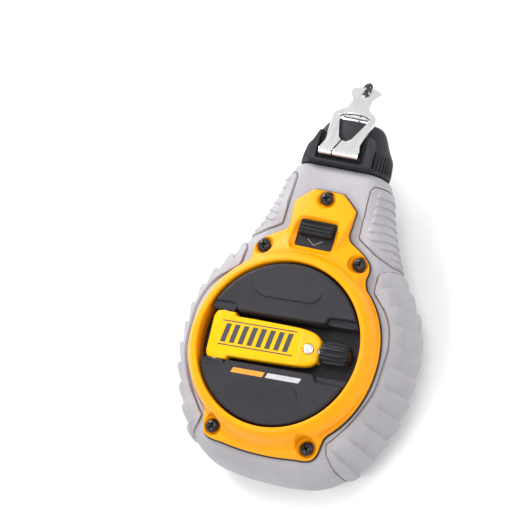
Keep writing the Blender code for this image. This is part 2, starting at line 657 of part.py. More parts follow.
def make_nose_cap(looks):
    shell = stack([rounded_section(w, low, high, y) for y, w, low, high in CAP_SECTIONS])
    cap = solid("nose_cap", shell, looks["cap"], origin=(0, NECK_END, 25.5))
    inner = [(74.0, *CAP_SECTIONS[0][1:])] + list(CAP_SECTIONS[1:-2])
    hollow = []
    for y, width, low, high in inner:
        hollow.append(rounded_section(width - CAP_WALL, low + CAP_WALL, high - CAP_WALL - 1.6, y))
    cut(cap, "hollow", stack(hollow))
    pocket = box((-10.4, 76.4, 34.6), (10.4, 100, 50))
    cut(cap, "pocket", pocket)
    exit_hole = turned([(2.6 + GAP, 85), (2.6 + GAP, 100)], 16)
    exit_hole = along_y(exit_hole)
    bmesh.ops.translate(exit_hole, verts=exit_hole.verts, vec=(0, 0, LINE_Z))
    cut(cap, "exit", exit_hole)

    lipped = [(0.9, 90.6), (2.6, 90.6), (2.6, 94.3), (3.8, 94.3), (3.8, 95.2), (1.4, 95.2)]
    eyelet = along_y(turned(lipped, 20, closed=True))
    bmesh.ops.translate(eyelet, verts=eyelet.verts, vec=(0, 0, LINE_Z))
    solid("line_eyelet", eyelet, looks["steel"])

    plug = [rounded_section(15.2, 18.0, 31.2, 68.6), rounded_section(15.2, 18.0, 31.2, 76.6)]
    bore = [rounded_section(12.6, 20.0, 29.2, 76.6), rounded_section(12.6, 20.0, 29.2, 68.6)]
    solid("cap_seal", stack(plug + bore, closed=True), looks["rubber"])

    pad = [rounded_section(11.2, 20.6, 29.0, 84.0), rounded_section(10.4, 20.9, 28.8, 88.0)]
    wiper = solid("felt_wiper", stack(pad), looks["felt"])
    slot = along_y(turned([(0.8, 80), (0.8, 92)], 12))
    bmesh.ops.translate(slot, verts=slot.verts, vec=(0, 0, LINE_Z))
    cut(wiper, "line_hole", slot)


def lean_back(mesh):
    """Leans a flat piece made about y = HOOK_Y at z = 0 to the hook's slope, and lifts it into place."""
    moved = turn(mesh, -math.atan(HOOK_SLOPE), "X", (0, HOOK_Y, 0))
    bmesh.ops.translate(moved, verts=moved.verts, vec=(0, 0, HOOK_Z))
    return moved


def on_lean(y):
    """Distance along the leaning hook of a point at this y."""
    return HOOK_Y + (y - HOOK_Y) / math.cos(math.atan(HOOK_SLOPE))


def make_hook(looks):
    half = [(x, on_lean(y)) for x, y in HOOK_OUTLINE]
    outline = half + [(-x, y) for x, y in reversed(half)]
    origin = (0, EYE_Y, HOOK_Z - HOOK_SLOPE * (EYE_Y - HOOK_Y))
    hook = solid("line_hook", lean_back(prism(outline, -HOOK_THICK, 0)), looks["bright"], origin=origin)
    lip = curve_through([(80.6, 39.5), (79.3, 39.7), (78.3, 38.8), (78.1, 37.2), (78.4, 35.4)], 2)
    inner = curve_through([(79.5, 35.4), (79.3, 37.0), (79.5, 37.9), (80.4, 38.0)], 2)
    side = lip + inner
    curl = stack([[(x, y, z) for y, z in side] for x in (-8.3, 8.3)])
    add(hook, "lip", curl)
    window = [(x, on_lean(y)) for x, y in WINDOW_OUTLINE]
    cut(hook, "window", lean_back(prism([(-x, y) for x, y in window] + window[::-1], -5, 5)))
    cut(hook, "eye", lean_back(prism(circle(EYE_R, 20, (0, on_lean(EYE_Y))), -5, 5)))

    steps = 20
    ring = []
    for k in range(steps):
        angle = 2 * math.pi * k / steps
        away = Vector((0, math.cos(angle), math.sin(angle)))
        centre = Vector((0, on_lean(EYE_Y) + 2.55, -HOOK_THICK / 2)) + away * KNOT_R
        corners = []
        for across, out in circle(1.0, 10):
            side = Vector((across * KNOT_HALF_WIDTH, 0, 0))
            corners.append(tuple(centre + side + away * out * KNOT_HALF_DEPTH))
        ring.append(corners)
    solid("line_knot", lean_back(stack(ring, closed=True)), looks["line"], origin=origin)


def main():
    for obj in list(bpy.context.scene.objects):
        bpy.data.objects.remove(obj)
    looks = {
        "grey": material("housing_grey", (0.58, 0.55, 0.59), 0.62),
        "amber": material("frame_amber", (0.99, 0.46, 0.02), 0.38),
        "yellow": material("arm_yellow", (1.0, 0.58, 0.01), 0.34),
        "charcoal": material("disc_charcoal", (0.065, 0.06, 0.075), 0.5),
        "cap": material("cap_grey", (0.06, 0.055, 0.068), 0.6),
        "black": material("black_plastic", (0.03, 0.03, 0.036), 0.4),
        "rubber": material("black_rubber", (0.03, 0.03, 0.03), 0.75),
        "steel": material("zinc_steel", (0.55, 0.55, 0.56), 0.35, 1.0),
        "bright": material("bright_steel", (0.86, 0.86, 0.88), 0.15, 1.0),
        "brass": material("brass", (0.65, 0.45, 0.18), 0.35, 1.0),
        "nylon": material("white_nylon", (0.7, 0.69, 0.66), 0.5),
        "felt": material("grey_felt", (0.35, 0.34, 0.33), 0.95),
        "line": material("braided_line", (0.3, 0.3, 0.31), 0.85),
    }
    make_housing(looks["grey"])
    make_front_frame(looks["amber"])
    make_cover_gasket(looks["rubber"])
    make_screws(looks["black"], looks["steel"])
    make_lock(looks["black"], looks["steel"])
    make_crank(looks)
    make_gears(looks)
    make_gear_plate(looks)
    make_spool(looks)
    make_line(looks)
    make_nose_cap(looks)
    make_hook(looks)


main()
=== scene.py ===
"""The finished look of a chalk line reel, built round its working model.

Lengths are millimetres while a piece is shaped; every piece is scaled to metres when it is finished.
"""

import json
import math

import bmesh
import bpy
from mathutils import Matrix, Vector


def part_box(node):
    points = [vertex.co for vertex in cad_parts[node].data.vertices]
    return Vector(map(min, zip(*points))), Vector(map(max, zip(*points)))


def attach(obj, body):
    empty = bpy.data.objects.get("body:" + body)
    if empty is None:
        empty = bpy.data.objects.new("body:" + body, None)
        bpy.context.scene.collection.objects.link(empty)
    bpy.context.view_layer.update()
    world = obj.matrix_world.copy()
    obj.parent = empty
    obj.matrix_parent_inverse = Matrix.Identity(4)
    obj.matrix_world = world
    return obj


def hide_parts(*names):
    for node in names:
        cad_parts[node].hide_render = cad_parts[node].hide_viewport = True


MM = 0.001

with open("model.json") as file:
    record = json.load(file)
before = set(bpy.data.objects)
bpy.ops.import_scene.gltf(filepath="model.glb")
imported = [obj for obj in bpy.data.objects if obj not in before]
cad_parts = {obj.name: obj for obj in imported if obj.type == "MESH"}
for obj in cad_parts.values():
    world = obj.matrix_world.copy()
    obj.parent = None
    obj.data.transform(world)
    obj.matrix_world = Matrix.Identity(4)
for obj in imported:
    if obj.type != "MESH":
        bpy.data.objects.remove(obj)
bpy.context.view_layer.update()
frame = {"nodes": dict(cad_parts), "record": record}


def node_box(node):
    """Lowest and highest corners of a piece of the working model, in millimetres."""
    low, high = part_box(node)
    return Vector(low) / MM, Vector(high) / MM


# --- Sizes, from the working model -----------------------------------------------------------------

RING_TOP = node_box("front_frame")[1].z
NECK_END = node_box("housing")[1].y
HOUSING_HALF = node_box("housing")[1].x
KNOB_LOW = node_box("crank_knob")[0].z
KNOB_Z = 41.3
CRANK_REST = math.radians(3)
RING_R = 32.5
RING_FOOT_R, RING_FOOT_Z = 37.8, 39.5
FRAME_RISE = 2.7         # frame's flat above the housing's front
DISC_R = 31.7
DISC_TOP = node_box("crank_disc")[1].z - 0.5
DISC_UNDER = node_box("crank_disc")[0].z
CHANNEL_FLOOR = 36.4
CHANNEL_HALF = 10.0
PIN_X, PIN_Z = -24.5, 42.8
ARM_UNDER, ARM_TOP = 40.9, 45.2
ARM_SLOPE = math.radians(17)
ROUNDING = 8.0
LINE_Z = 26.0
HOOK_Y, HOOK_Z, HOOK_SLOPE = 80.0, 39.8, 0.43
EYE_Y = 108.3
COVER_SCREWS = [(0, 61.0), (20, 38.2), (-20, 38.2), (19.7, -35.5), (-19.7, -35.5)]
BELLY_OUTLINE = [(0, -49.6), (12, -49.0), (22, -46.8), (31, -40.6), (37, -32), (41.5, -22), (44.7, -11)]
NECK_OUTLINE = [(HOUSING_HALF, 2), (45, 14), (41.5, 25.6), (34.6, 36.4), (28.3, 47), (24, 58), (21.4, 68),
                (19.8, 77)]
RING_PROFILE = [(RING_R, 44.9), (32.7, 45.7), (33.4, RING_TOP), (34.9, 45.4), (36.7, 43.0),
                (RING_FOOT_R, RING_FOOT_Z)]
NECK_PLATE = [(5.2, 64.2), (6.9, 63.5), (11.9, 59.2), (12.7, 57.6), (12.3, 50.5), (12.4, 48.4), (13.7, 46.3),
              (17.8, 43.8), (21.1, 41.5), (23.4, 38.9), (24.1, 36), (23.8, 33), (24.5, 30.6)]
FOOT_PLATE = [(24.7, -30.0), (24.1, -33), (23.8, -35.6), (22.5, -38.5), (19.8, -39.9), (14.8, -40.4),
              (10, -41), (5, -41.4)]
FRAME_SIDE_R = 38.4


# --- Shaping helpers -------------------------------------------------------------------------------

def smoothstep(value):
    value = min(max(value, 0.0), 1.0)
    return value * value * (3 - 2 * value)


def mix(start, end, share):
    return start + (end - start) * share


def back_z(y):
    """Height of the housing's back: flat under the reel, rising to the neck."""
    return 14.0 * smoothstep((y - 25) / 50)


def front_z(y):
    """Height of the housing's front, crowned over the crank."""
    crown = 1.9 * (1 + math.cos(math.pi * min(abs(y) / 40, 1)))
    return 33.5 + crown + 1.0 * smoothstep((y - 40) / 35)


def curve_through(points, per_span):
    """Points of a smooth curve through the given ones, ends included."""
    ends = [points[0]] + list(points) + [points[-1]]
    found = []
    for before, start, stop, after in zip(ends, ends[1:], ends[2:], ends[3:]):
        for step in range(per_span):
            t = step / per_span
            weights = (-t + 2 * t**2 - t**3, 2 - 5 * t**2 + 3 * t**3, t + 4 * t**2 - 3 * t**3, t**3 - t**2)
            columns = zip(before, start, stop, after)
            found.append(tuple(sum(w * value for w, value in zip(weights, column)) / 2 for column in columns))
    found.append(tuple(points[-1]))
    return found


def circle(radius, steps):
    angles = [2 * math.pi * step / steps for step in range(steps)]
    return [(radius * math.cos(a), radius * math.sin(a)) for a in angles]


def table_value(table, at):
    """Straight-line reading of a table of (place, value) whose places rise."""
    if at <= table[0][0]:
        return table[0][1]
    for (start, low), (stop, high) in zip(table, table[1:]):
        if at <= stop:
            return mix(low, high, (at - start) / (stop - start))
    return table[-1][1]


def only(piece):
    """Makes one piece the only selected one, and active."""
    bpy.ops.object.select_all(action="DESELECT")
    piece.select_set(True)
    bpy.context.view_layer.objects.active = piece


def tidy_faces(piece, merge=0.0005):
    """Merges doubled corners and turns all faces outward."""
    only(piece)
    bpy.ops.object.mode_set(mode="EDIT")
    bpy.ops.mesh.select_all(action="SELECT")
    bpy.ops.mesh.remove_doubles(threshold=merge)
    bpy.ops.mesh.dissolve_degenerate(threshold=merge)
    bpy.ops.mesh.normals_make_consistent(inside=False)
    bpy.ops.object.mode_set(mode="OBJECT")


def close_holes(piece):
    """Fills every open rim with one flat face."""
    only(piece)
    bpy.ops.object.mode_set(mode="EDIT")
    bpy.ops.mesh.select_mode(type="EDGE")
    bpy.ops.mesh.select_all(action="DESELECT")
    bpy.ops.mesh.select_non_manifold(extend=False, use_boundary=True, use_wire=False, use_multi_face=False,
                                     use_non_contiguous=False, use_verts=False)
    bpy.ops.mesh.edge_face_add()
    bpy.ops.mesh.select_mode(type="VERT")
    bpy.ops.mesh.select_all(action="SELECT")
    bpy.ops.mesh.normals_make_consistent(inside=False)
    bpy.ops.object.mode_set(mode="OBJECT")


def sheet_of(name, columns, rows, place):
    """A flat grid of faces, each corner moved to place(u, v) for u and v from 0 to 1."""
    bpy.ops.object.select_all(action="DESELECT")
    bpy.ops.mesh.primitive_grid_add(x_subdivisions=columns, y_subdivisions=rows, size=1)
    piece = bpy.context.object
    piece.name = name
    for corner in piece.data.vertices:
        corner.co = place(corner.co.x + 0.5, corner.co.y + 0.5)
    return piece


def loft(name, rings, ends=True, merge=0.0005):
    """A skin over rings of points, each ring closed on itself; ends fills the first and last."""
    count = len(rings[0])

    def place(u, v):
        return rings[round(v * (len(rings) - 1))][round(u * count) % count]

    piece = sheet_of(name, count, len(rings) - 1, place)
    tidy_faces(piece, merge)
    if ends:
        close_holes(piece)
    return piece


def turned(name, profile, steps=64, ends=True):
    """A profile of (radius, height) turned about the upright axis."""
    return loft(name, [[(x, y, z) for x, y in circle(max(r, 0.0001), steps)] for r, z in profile], ends)


def ring_of(name, profile, steps=64):
    """A closed profile of (radius, height) turned into a ring."""
    return turned(name, list(profile) + [profile[0]], steps, ends=False)


def drawn_in(outline, inward):
    """An outline's points, moved a distance toward the crank's axis."""
    points = [Vector(point) for point in outline]
    return [point - point.normalized() * inward for point in points]


def plateau(name, outline, levels):
    """An outline stacked at (height, inward offset) levels, so that walls can slope and rims are broken."""
    rings = []
    for z, inward in levels:
        rings.append([(x, y, z) for x, y in offset(outline, inward)])
    return loft(name, rings)


def offset(outline, inward):
    """A closed anticlockwise outline moved inward by a distance, corner by corner."""
    found = []
    count = len(outline)
    for index, point in enumerate(outline):
        before = Vector(outline[index - 1])
        here = Vector(point)
        after = Vector(outline[(index + 1) % count])
        first = (here - before).normalized()
        second = (after - here).normalized()
        normal = Vector((-first.y - second.y, first.x + second.x))
        if normal.length < 1e-6:
            normal = Vector((-first.y, first.x))
        normal.normalize()
        lean = max(normal.dot(Vector((-first.y, first.x))), 0.35)
        found.append(tuple(here + normal * inward / lean))
    return found


def rounded(outline, radius, steps=5):
    """A closed outline with its corners turned into arcs."""
    found = []
    count = len(outline)
    for index, point in enumerate(outline):
        here = Vector(point)
        before = Vector(outline[index - 1])
        after = Vector(outline[(index + 1) % count])
        reach = min(radius, (before - here).length * 0.45, (after - here).length * 0.45)
        start = here + (before - here).normalized() * reach
        stop = here + (after - here).normalized() * reach
        for step in range(steps + 1):
            t = step / steps
            found.append(tuple(start * (1 - t) ** 2 + here * 2 * t * (1 - t) + stop * t * t))
    return found


def block(name, low, high, edge=0.0, segments=3):
    """A cube stretched between two corners, its edges bevelled."""
    bpy.ops.object.select_all(action="DESELECT")
    middle = [(a + b) / 2 for a, b in zip(low, high)]
    bpy.ops.mesh.primitive_cube_add(size=1, location=middle)
    piece = bpy.context.object
    piece.name = name
    piece.scale = [b - a for a, b in zip(low, high)]
    bpy.ops.object.transform_apply(location=True, rotation=True, scale=True)
    if edge:
        bpy.ops.object.mode_set(mode="EDIT")
        bpy.ops.mesh.select_all(action="SELECT")
        bpy.ops.mesh.bevel(offset=edge, segments=segments, affect="EDGES")
        bpy.ops.object.mode_set(mode="OBJECT")
    return piece


def move(piece, turn=None, shift=(0, 0, 0)):
    """Turns a piece by a matrix about the origin and then shifts it, in its mesh."""
    if turn is not None:
        piece.data.transform(turn.to_4x4())
    piece.data.transform(Matrix.Translation(shift))
    return piece


def copy_of(piece, name):
    """A second piece with its own mesh."""
    twin = piece.copy()
    twin.data = piece.data.copy()
    twin.name = name
    bpy.context.scene.collection.objects.link(twin)
    return twin


def mirror_of(piece, name):
    """A left-hand copy of a right-hand piece."""
    twin = copy_of(piece, name)
    twin.data.transform(Matrix.Diagonal((-1, 1, 1, 1)))
    twin.data.flip_normals()
    return twin


def boolean(piece, tool, operation):
    """Cuts or joins a piece with a tool, which is used up."""
    only(piece)
    modifier = piece.modifiers.new(tool.name, "BOOLEAN")
    modifier.operation = operation
    modifier.object = tool
    modifier.solver = "MANIFOLD"
    bpy.ops.object.modifier_apply(modifier=modifier.name)
    bpy.data.objects.remove(tool)


def carve(piece, tool):
    boolean(piece, tool, "DIFFERENCE")


def merge(piece, tool):
    boolean(piece, tool, "UNION")


def soften(piece, width, segments=2, angle=35):
    """Rounds the sharp edges of a piece."""
    only(piece)
    modifier = piece.modifiers.new("soften", "BEVEL")
    modifier.width = width
    modifier.segments = segments
    modifier.limit_method = "ANGLE"
    modifier.angle_limit = math.radians(angle)
    bpy.ops.object.modifier_apply(modifier=modifier.name)


def finish(piece, body, slot, stands_for=(), sharp=35, look=None):
    """Scales a piece to metres, shades it and hands it to its body, in its slot's finish or another."""
    piece.data.transform(Matrix.Scale(MM, 4))
    only(piece)
    bpy.ops.object.shade_smooth_by_angle(angle=math.radians(sharp))
    even = piece.modifiers.new("even_shading", "WEIGHTED_NORMAL")
    even.keep_sharp = True
    bpy.ops.object.modifier_apply(modifier="even_shading")
    piece.data.materials.clear()
    piece.data.materials.append(look or LOOKS[slot])
    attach(piece, body)
    if stands_for:
        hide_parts(*stands_for)
    return piece


# --- Finishes --------------------------------------------------------------------------------------

class Finish:
    """A Principled material built up from noise, cells and ramps on the piece's own coordinates."""

    def __init__(self, name, roughness, metallic=0.0, **sockets):
        self.material = bpy.data.materials.new(name)
        self.material.use_nodes = True
        self.tree = self.material.node_tree
        self.shader = self.tree.nodes["Principled BSDF"]
        self.shader.inputs["Roughness"].default_value = roughness
        self.shader.inputs["Metallic"].default_value = metallic
        for socket, value in sockets.items():
            self.shader.inputs[socket.replace("_", " ")].default_value = value
        self.place = self.tree.nodes.new("ShaderNodeTexCoord").outputs["Object"]
        self.normal = None

    def link(self, start, end):
        self.tree.links.new(start, end)

    def noise(self, per_metre, detail=4.0, roughness=0.55, stretch=(1, 1, 1)):
        """Noise with features of about 1 / per_metre."""
        mapping = self.tree.nodes.new("ShaderNodeMapping")
        mapping.inputs["Scale"].default_value = stretch
        self.link(self.place, mapping.inputs["Vector"])
        node = self.tree.nodes.new("ShaderNodeTexNoise")
        node.inputs["Scale"].default_value = per_metre
        node.inputs["Detail"].default_value = detail
        node.inputs["Roughness"].default_value = roughness
        self.link(mapping.outputs["Vector"], node.inputs["Vector"])
        return node.outputs["Fac"]

    def cells(self, per_metre):
        node = self.tree.nodes.new("ShaderNodeTexVoronoi")
        node.inputs["Scale"].default_value = per_metre
        self.link(self.place, node.inputs["Vector"])
        return node.outputs["Distance"]

    def ramp(self, factor, *stops):
        node = self.tree.nodes.new("ShaderNodeValToRGB")
        while len(node.color_ramp.elements) < len(stops):
            node.color_ramp.elements.new(0.5)
        for element, (place, colour) in zip(node.color_ramp.elements, stops):
            element.position = place
            element.color = (*colour, 1.0)
        self.link(factor, node.inputs["Fac"])
        return node.outputs["Color"]

    def grey_ramp(self, factor, low, high, start=0.35, stop=0.65):
        return self.ramp(factor, (start, (low,) * 3), (stop, (high,) * 3))

    def colour(self, source):
        self.link(source, self.shader.inputs["Base Color"])

    def mottle(self, per_metre, detail, dark, light, start=0.3, stop=0.7):
        """A colour that drifts between two tones."""
        self.colour(self.ramp(self.noise(per_metre, detail), (start, dark), (stop, light)))

    def sheen(self, factor, low, high):
        """Roughness that varies between two values."""
        self.link(self.grey_ramp(factor, low, high), self.shader.inputs["Roughness"])

    def grain(self, per_metre, detail, depth_mm, strength, stretch=(1, 1, 1)):
        """Relief from noise."""
        self.bump(self.noise(per_metre, detail, stretch=stretch), depth_mm, strength)

    def blend(self, factor, first, second):
        node = self.tree.nodes.new("ShaderNodeMix")
        node.data_type = "RGBA"
        self.link(factor, node.inputs["Factor"])
        for socket, value in ((node.inputs[6], first), (node.inputs[7], second)):
            if isinstance(value, tuple):
                socket.default_value = (*value, 1.0)
            else:
                self.link(value, socket)
        return node.outputs[2]

    def bump(self, height, depth_mm, strength=1.0):
        """Relief of about the given depth, added to any laid before it."""
        node = self.tree.nodes.new("ShaderNodeBump")
        node.inputs["Distance"].default_value = depth_mm * MM
        node.inputs["Strength"].default_value = strength
        self.link(height, node.inputs["Height"])
        if self.normal is not None:
            self.link(self.normal, node.inputs["Normal"])
        self.normal = node.outputs["Normal"]
        self.link(self.normal, self.shader.inputs["Normal"])


def housing_grey():
    """Fine sand-textured light grey with a slightly warm, uneven tone."""
    look = Finish("housing_grey", 0.6, Specular_IOR_Level=0.4)
    tone = look.ramp(look.noise(60, 3), (0.3, (0.315, 0.302, 0.327)), (0.7, (0.385, 0.369, 0.395)))
    grains = look.grey_ramp(look.noise(2600, 2), 0.0, 1.0, 0.42, 0.62)
    look.colour(look.blend(look.grey_ramp(grains, 0.0, 0.22), tone, (0.50, 0.485, 0.51)))
    look.sheen(look.noise(900, 3), 0.5, 0.68)
    look.grain(2600, 3, 0.12, 0.75)
    look.grain(420, 2, 0.12, 0.15)
    return look.material


def frame_amber():
    """Satin yellow-orange moulding with a very fine spark-eroded grain."""
    look = Finish("frame_amber", 0.4, Specular_IOR_Level=0.2)
    look.mottle(45, 3, (0.86, 0.315, 0.0), (0.93, 0.36, 0.0))
    look.sheen(look.noise(700, 4), 0.3, 0.44)
    look.grain(3200, 2, 0.03, 0.35)
    look.grain(160, 2, 0.05, 0.12)
    return look.material


def arm_yellow():
    """Semi-gloss yellow moulding, brighter than the frame."""
    look = Finish("arm_yellow", 0.34, Specular_IOR_Level=0.22)
    look.mottle(90, 3, (0.88, 0.42, 0.0), (0.95, 0.475, 0.0))
    look.sheen(look.noise(800, 4), 0.24, 0.38)
    look.grain(2400, 2, 0.02, 0.3)
    return look.material


def disc_charcoal():
    """Matt charcoal moulding with a fine horizontal drag in its grain."""
    look = Finish("disc_charcoal", 0.5, Specular_IOR_Level=0.22)
    look.mottle(120, 4, (0.020, 0.0188, 0.0235), (0.028, 0.0262, 0.0325))
    look.sheen(look.noise(900, 4, stretch=(0.35, 1, 1)), 0.42, 0.58)
    look.grain(2200, 3, 0.05, 0.5, stretch=(0.3, 1, 1))
    return look.material


def cap_grey():
    """Dark grey moulding with a fine leathery grain, dulled where hands rub it."""
    look = Finish("cap_grey", 0.55, Specular_IOR_Level=0.24)
    look.mottle(110, 4, (0.017, 0.016, 0.021), (0.026, 0.0245, 0.031))
    look.sheen(look.noise(500, 4), 0.46, 0.66)
    look.grain(1900, 3, 0.06, 0.5)
    return look.material


def black_plastic():
    """Satin black moulding with faint flow marks."""
    look = Finish("black_plastic", 0.42, Specular_IOR_Level=0.25)
    look.mottle(150, 3, (0.010, 0.010, 0.013), (0.018, 0.0175, 0.022))
    look.sheen(look.noise(600, 4), 0.36, 0.52)
    look.grain(1700, 3, 0.03, 0.4)
    return look.material


def black_oxide():
    """Black oxide on steel, a little brown and shiny where a driver has rubbed it."""
    look = Finish("black_oxide", 0.38, metallic=0.75)
    look.mottle(700, 4, (0.018, 0.018, 0.02), (0.075, 0.07, 0.068), 0.35, 0.75)
    look.sheen(look.noise(1200, 4), 0.28, 0.5)
    look.grain(2600, 3, 0.03, 0.4)
    return look.material


def black_rubber():
    """Matt black rubber with a dusty bloom."""
    look = Finish("black_rubber", 0.78, Specular_IOR_Level=0.3)
    look.mottle(260, 4, (0.018, 0.018, 0.019), (0.04, 0.038, 0.04), 0.35, 0.75)
    look.sheen(look.noise(800, 3), 0.68, 0.86)
    look.grain(2000, 3, 0.04, 0.5)
    return look.material


def zinc_steel():
    """Zinc-plated steel with a faint crystal bloom."""
    look = Finish("zinc_steel", 0.3, metallic=1.0)
    look.colour(look.ramp(look.cells(900), (0.1, (0.47, 0.48, 0.5)), (0.8, (0.66, 0.66, 0.67))))
    look.sheen(look.noise(1500, 3), 0.22, 0.42)
    look.grain(1800, 3, 0.02, 0.3)
    return look.material


def bright_steel():
    """Polished stamped steel with hair-fine lines along the hook."""
    look = Finish("bright_steel", 0.16, metallic=1.0)
    look.mottle(130, 3, (0.90, 0.90, 0.91), (0.97, 0.97, 0.975))
    look.sheen(look.noise(1500, 3, stretch=(1, 0.05, 0.05)), 0.12, 0.26)
    look.grain(2400, 2, 0.008, 0.35, stretch=(1, 0.04, 0.04))
    return look.material


def turned_brass():
    """Brass with the fine rings of the lathe and a slight tarnish."""
    look = Finish("turned_brass", 0.32, metallic=1.0)
    look.mottle(400, 4, (0.52, 0.34, 0.12), (0.74, 0.52, 0.22))
    look.sheen(look.noise(900, 3, stretch=(0.1, 0.1, 1)), 0.22, 0.42)
    look.grain(3000, 2, 0.01, 0.5, stretch=(0.05, 0.05, 1))
    return look.material


def white_nylon():
    """Natural nylon, cloudy and faintly blue with chalk in its grain."""
    look = Finish("white_nylon", 0.46, Subsurface_Weight=0.05)
    base = look.ramp(look.noise(180, 4), (0.3, (0.60, 0.59, 0.56)), (0.7, (0.74, 0.73, 0.70)))
    dust = look.grey_ramp(look.noise(330, 5), 0.0, 0.35, 0.5, 0.72)
    look.colour(look.blend(dust, base, (0.16, 0.27, 0.52)))
    look.sheen(look.noise(700, 3), 0.38, 0.58)
    look.grain(1500, 3, 0.03, 0.4)
    return look.material


def grey_felt():
    """Pressed felt: matted fibres, with blue chalk worked into it."""
    look = Finish("grey_felt", 0.95, Sheen_Weight=0.4, Sheen_Roughness=0.5)
    fibres = look.noise(1400, 6, 0.7, stretch=(1, 0.3, 1))
    base = look.ramp(fibres, (0.3, (0.20, 0.195, 0.19)), (0.7, (0.42, 0.41, 0.40)))
    look.colour(look.blend(look.grey_ramp(look.noise(240, 4), 0.0, 0.5), base, (0.07, 0.15, 0.38)))
    look.bump(fibres, 0.25, 0.8)
    return look.material


def cotton(name, light, dark):
    """Spun yarn with fine fibres crossing it."""
    look = Finish(name, 0.85, Sheen_Weight=0.25, Sheen_Roughness=0.5)
    fibres = look.noise(3600, 5, 0.7, stretch=(1, 0.4, 1))
    look.colour(look.ramp(fibres, (0.3, dark), (0.7, light)))
    look.sheen(look.noise(1500, 3), 0.75, 0.95)
    look.bump(fibres, 0.08, 0.7)
    return look.material


def wound_line():
    """The wound line as turns of black and white braid side by side."""
    look = Finish("wound_line", 0.85, Sheen_Weight=0.25, Sheen_Roughness=0.5)
    strands = look.noise(1300, 2, stretch=(0.6, 0.6, 1.4))
    turns = look.noise(1100, 1, stretch=(0.02, 0.02, 1))
    look.colour(look.ramp(strands, (0.42, (0.03, 0.03, 0.035)), (0.56, (0.62, 0.63, 0.66))))
    look.sheen(strands, 0.75, 0.95)
    look.bump(turns, 0.5, 0.9)
    look.bump(strands, 0.2, 0.8)
    return look.material


def ink_and_painted_shade(name, colour):
    """Pad-printed ink, slightly glossier than what it lies on; also the painted shade in the grip grooves."""
    look = Finish(name, 0.42)
    darker = tuple(channel * 0.8 for channel in colour)
    look.mottle(500, 4, darker, colour, 0.3, 0.6)
    look.sheen(look.noise(1600, 3), 0.34, 0.55)
    look.grain(2500, 2, 0.01, 0.3)
    return look.material


LOOKS = {
    "housing_grey": housing_grey(),
    "frame_amber": frame_amber(),
    "arm_yellow": arm_yellow(),
    "disc_charcoal": disc_charcoal(),
    "cap_grey": cap_grey(),
    "black_plastic": black_plastic(),
    "black_screws": black_oxide(),
    "rubber": black_rubber(),
    "steel": zinc_steel(),
    "bright_steel": bright_steel(),
    "brass": turned_brass(),
    "nylon": white_nylon(),
    "felt": grey_felt(),
    "braided_line": wound_line(),
}
WHITE_YARN = cotton("white_yarn", (0.72, 0.73, 0.76), (0.46, 0.47, 0.51))
BLACK_YARN = cotton("black_yarn", (0.045, 0.045, 0.05), (0.012, 0.012, 0.014))
# Painted shade: a dark ink laid where the grooves round the grip panels fall in shade.
GROOVE_SHADE_INK = ink_and_painted_shade("painted_groove_shade", (0.13, 0.105, 0.10))
DARK_INK = ink_and_painted_shade("dark_ink", (0.045, 0.042, 0.05))
ARROW_INK = ink_and_painted_shade("arrow_ink", (0.16, 0.155, 0.16))
WHITE_INK = ink_and_painted_shade("white_ink", (0.50, 0.50, 0.52))
AMBER_INK = ink_and_painted_shade("amber_ink", (0.85, 0.30, 0.02))


def finish_working_parts():
    """Gives every carried-over piece of the working model the finish of its slot."""
    for entry in frame["record"]["subparts"]:
        node = frame["nodes"][entry["node"]]
        look = LOOKS["black_screws"] if entry["node"] == "line_eyelet" else LOOKS[entry["material_slot"]]
        for slot in node.material_slots:
            slot.material = look


# --- Housing ---------------------------------------------------------------------------------------

HALF_OUTLINE = curve_through(BELLY_OUTLINE + NECK_OUTLINE, 12) + [(19.2, 84.0), (18.8, 90.0)]


def lengths_along(points):
    total = [0.0]
    for first, second in zip(points, points[1:]):
        total.append(total[-1] + math.dist(first, second))
    return total


HALF_LENGTHS = lengths_along(HALF_OUTLINE)
X_ALONG = [(length, point[0]) for length, point in zip(HALF_LENGTHS, HALF_OUTLINE)]
Y_ALONG = [(length, point[1]) for length, point in zip(HALF_LENGTHS, HALF_OUTLINE)]
BELLY_LENGTH = 20        # past this length the outline only rises


def outline_point(length):
    """Place and outward direction on the right-hand outline, a length away from the foot's middle."""
    reach = 0.8
    before = max(length - reach, 0)
    after = min(length + reach, HALF_LENGTHS[-1])
    run = Vector([table_value(table, after) - table_value(table, before) for table in (X_ALONG, Y_ALONG)])
    if length < reach:
        run.y = 0
    run.normalize()
    place = Vector((table_value(X_ALONG, length), table_value(Y_ALONG, length)))
    return place, Vector((run.y, -run.x))


def outline_length(y):
    """Length along the outline at which it reaches y."""
    return table_value([(place, length) for length, place in Y_ALONG if length > BELLY_LENGTH], y)


def housing_point(length, around, rise=0.0):
    """A point of the housing's skin: around is 0 at mid-depth, 1 where the front flattens, -1 at the back."""
    point, outward = outline_point(length)
    angle = min(max(around, -1), 1) * math.pi / 2
    inset = ROUNDING * (1 - math.cos(angle)) + max(abs(around) - 1, 0) * ROUNDING
    point = point - outward * inset
    low = back_z(point.y)
    high = front_z(point.y)
    z = (low + high) / 2 + (high - low) / 2 * math.sin(angle)
    side = math.cos(angle) / ROUNDING
    up = math.sin(angle) / ((high - low) / 2)
    size = math.hypot(side, up)
    return Vector((max(point.x + outward.x * side / size * rise, 0), point.y + outward.y * side / size * rise,
                   z + up / size * rise))


def round_neck_end(shell):
    """Draws the neck in over its last stretch, so that its rim is rounded."""
    stretch = 4.5
    for vertex in shell.data.vertices:
        over = min(max(vertex.co.y - (NECK_END - stretch), 0) / stretch, 0.99)
        pinch = 1.0 - 2.2 / 20 * (1 - math.sqrt(1 - over**2))
        middle = (back_z(vertex.co.y) + front_z(vertex.co.y)) / 2
        vertex.co.x *= pinch
        vertex.co.z = middle + (vertex.co.z - middle) * (2 * pinch - 1)


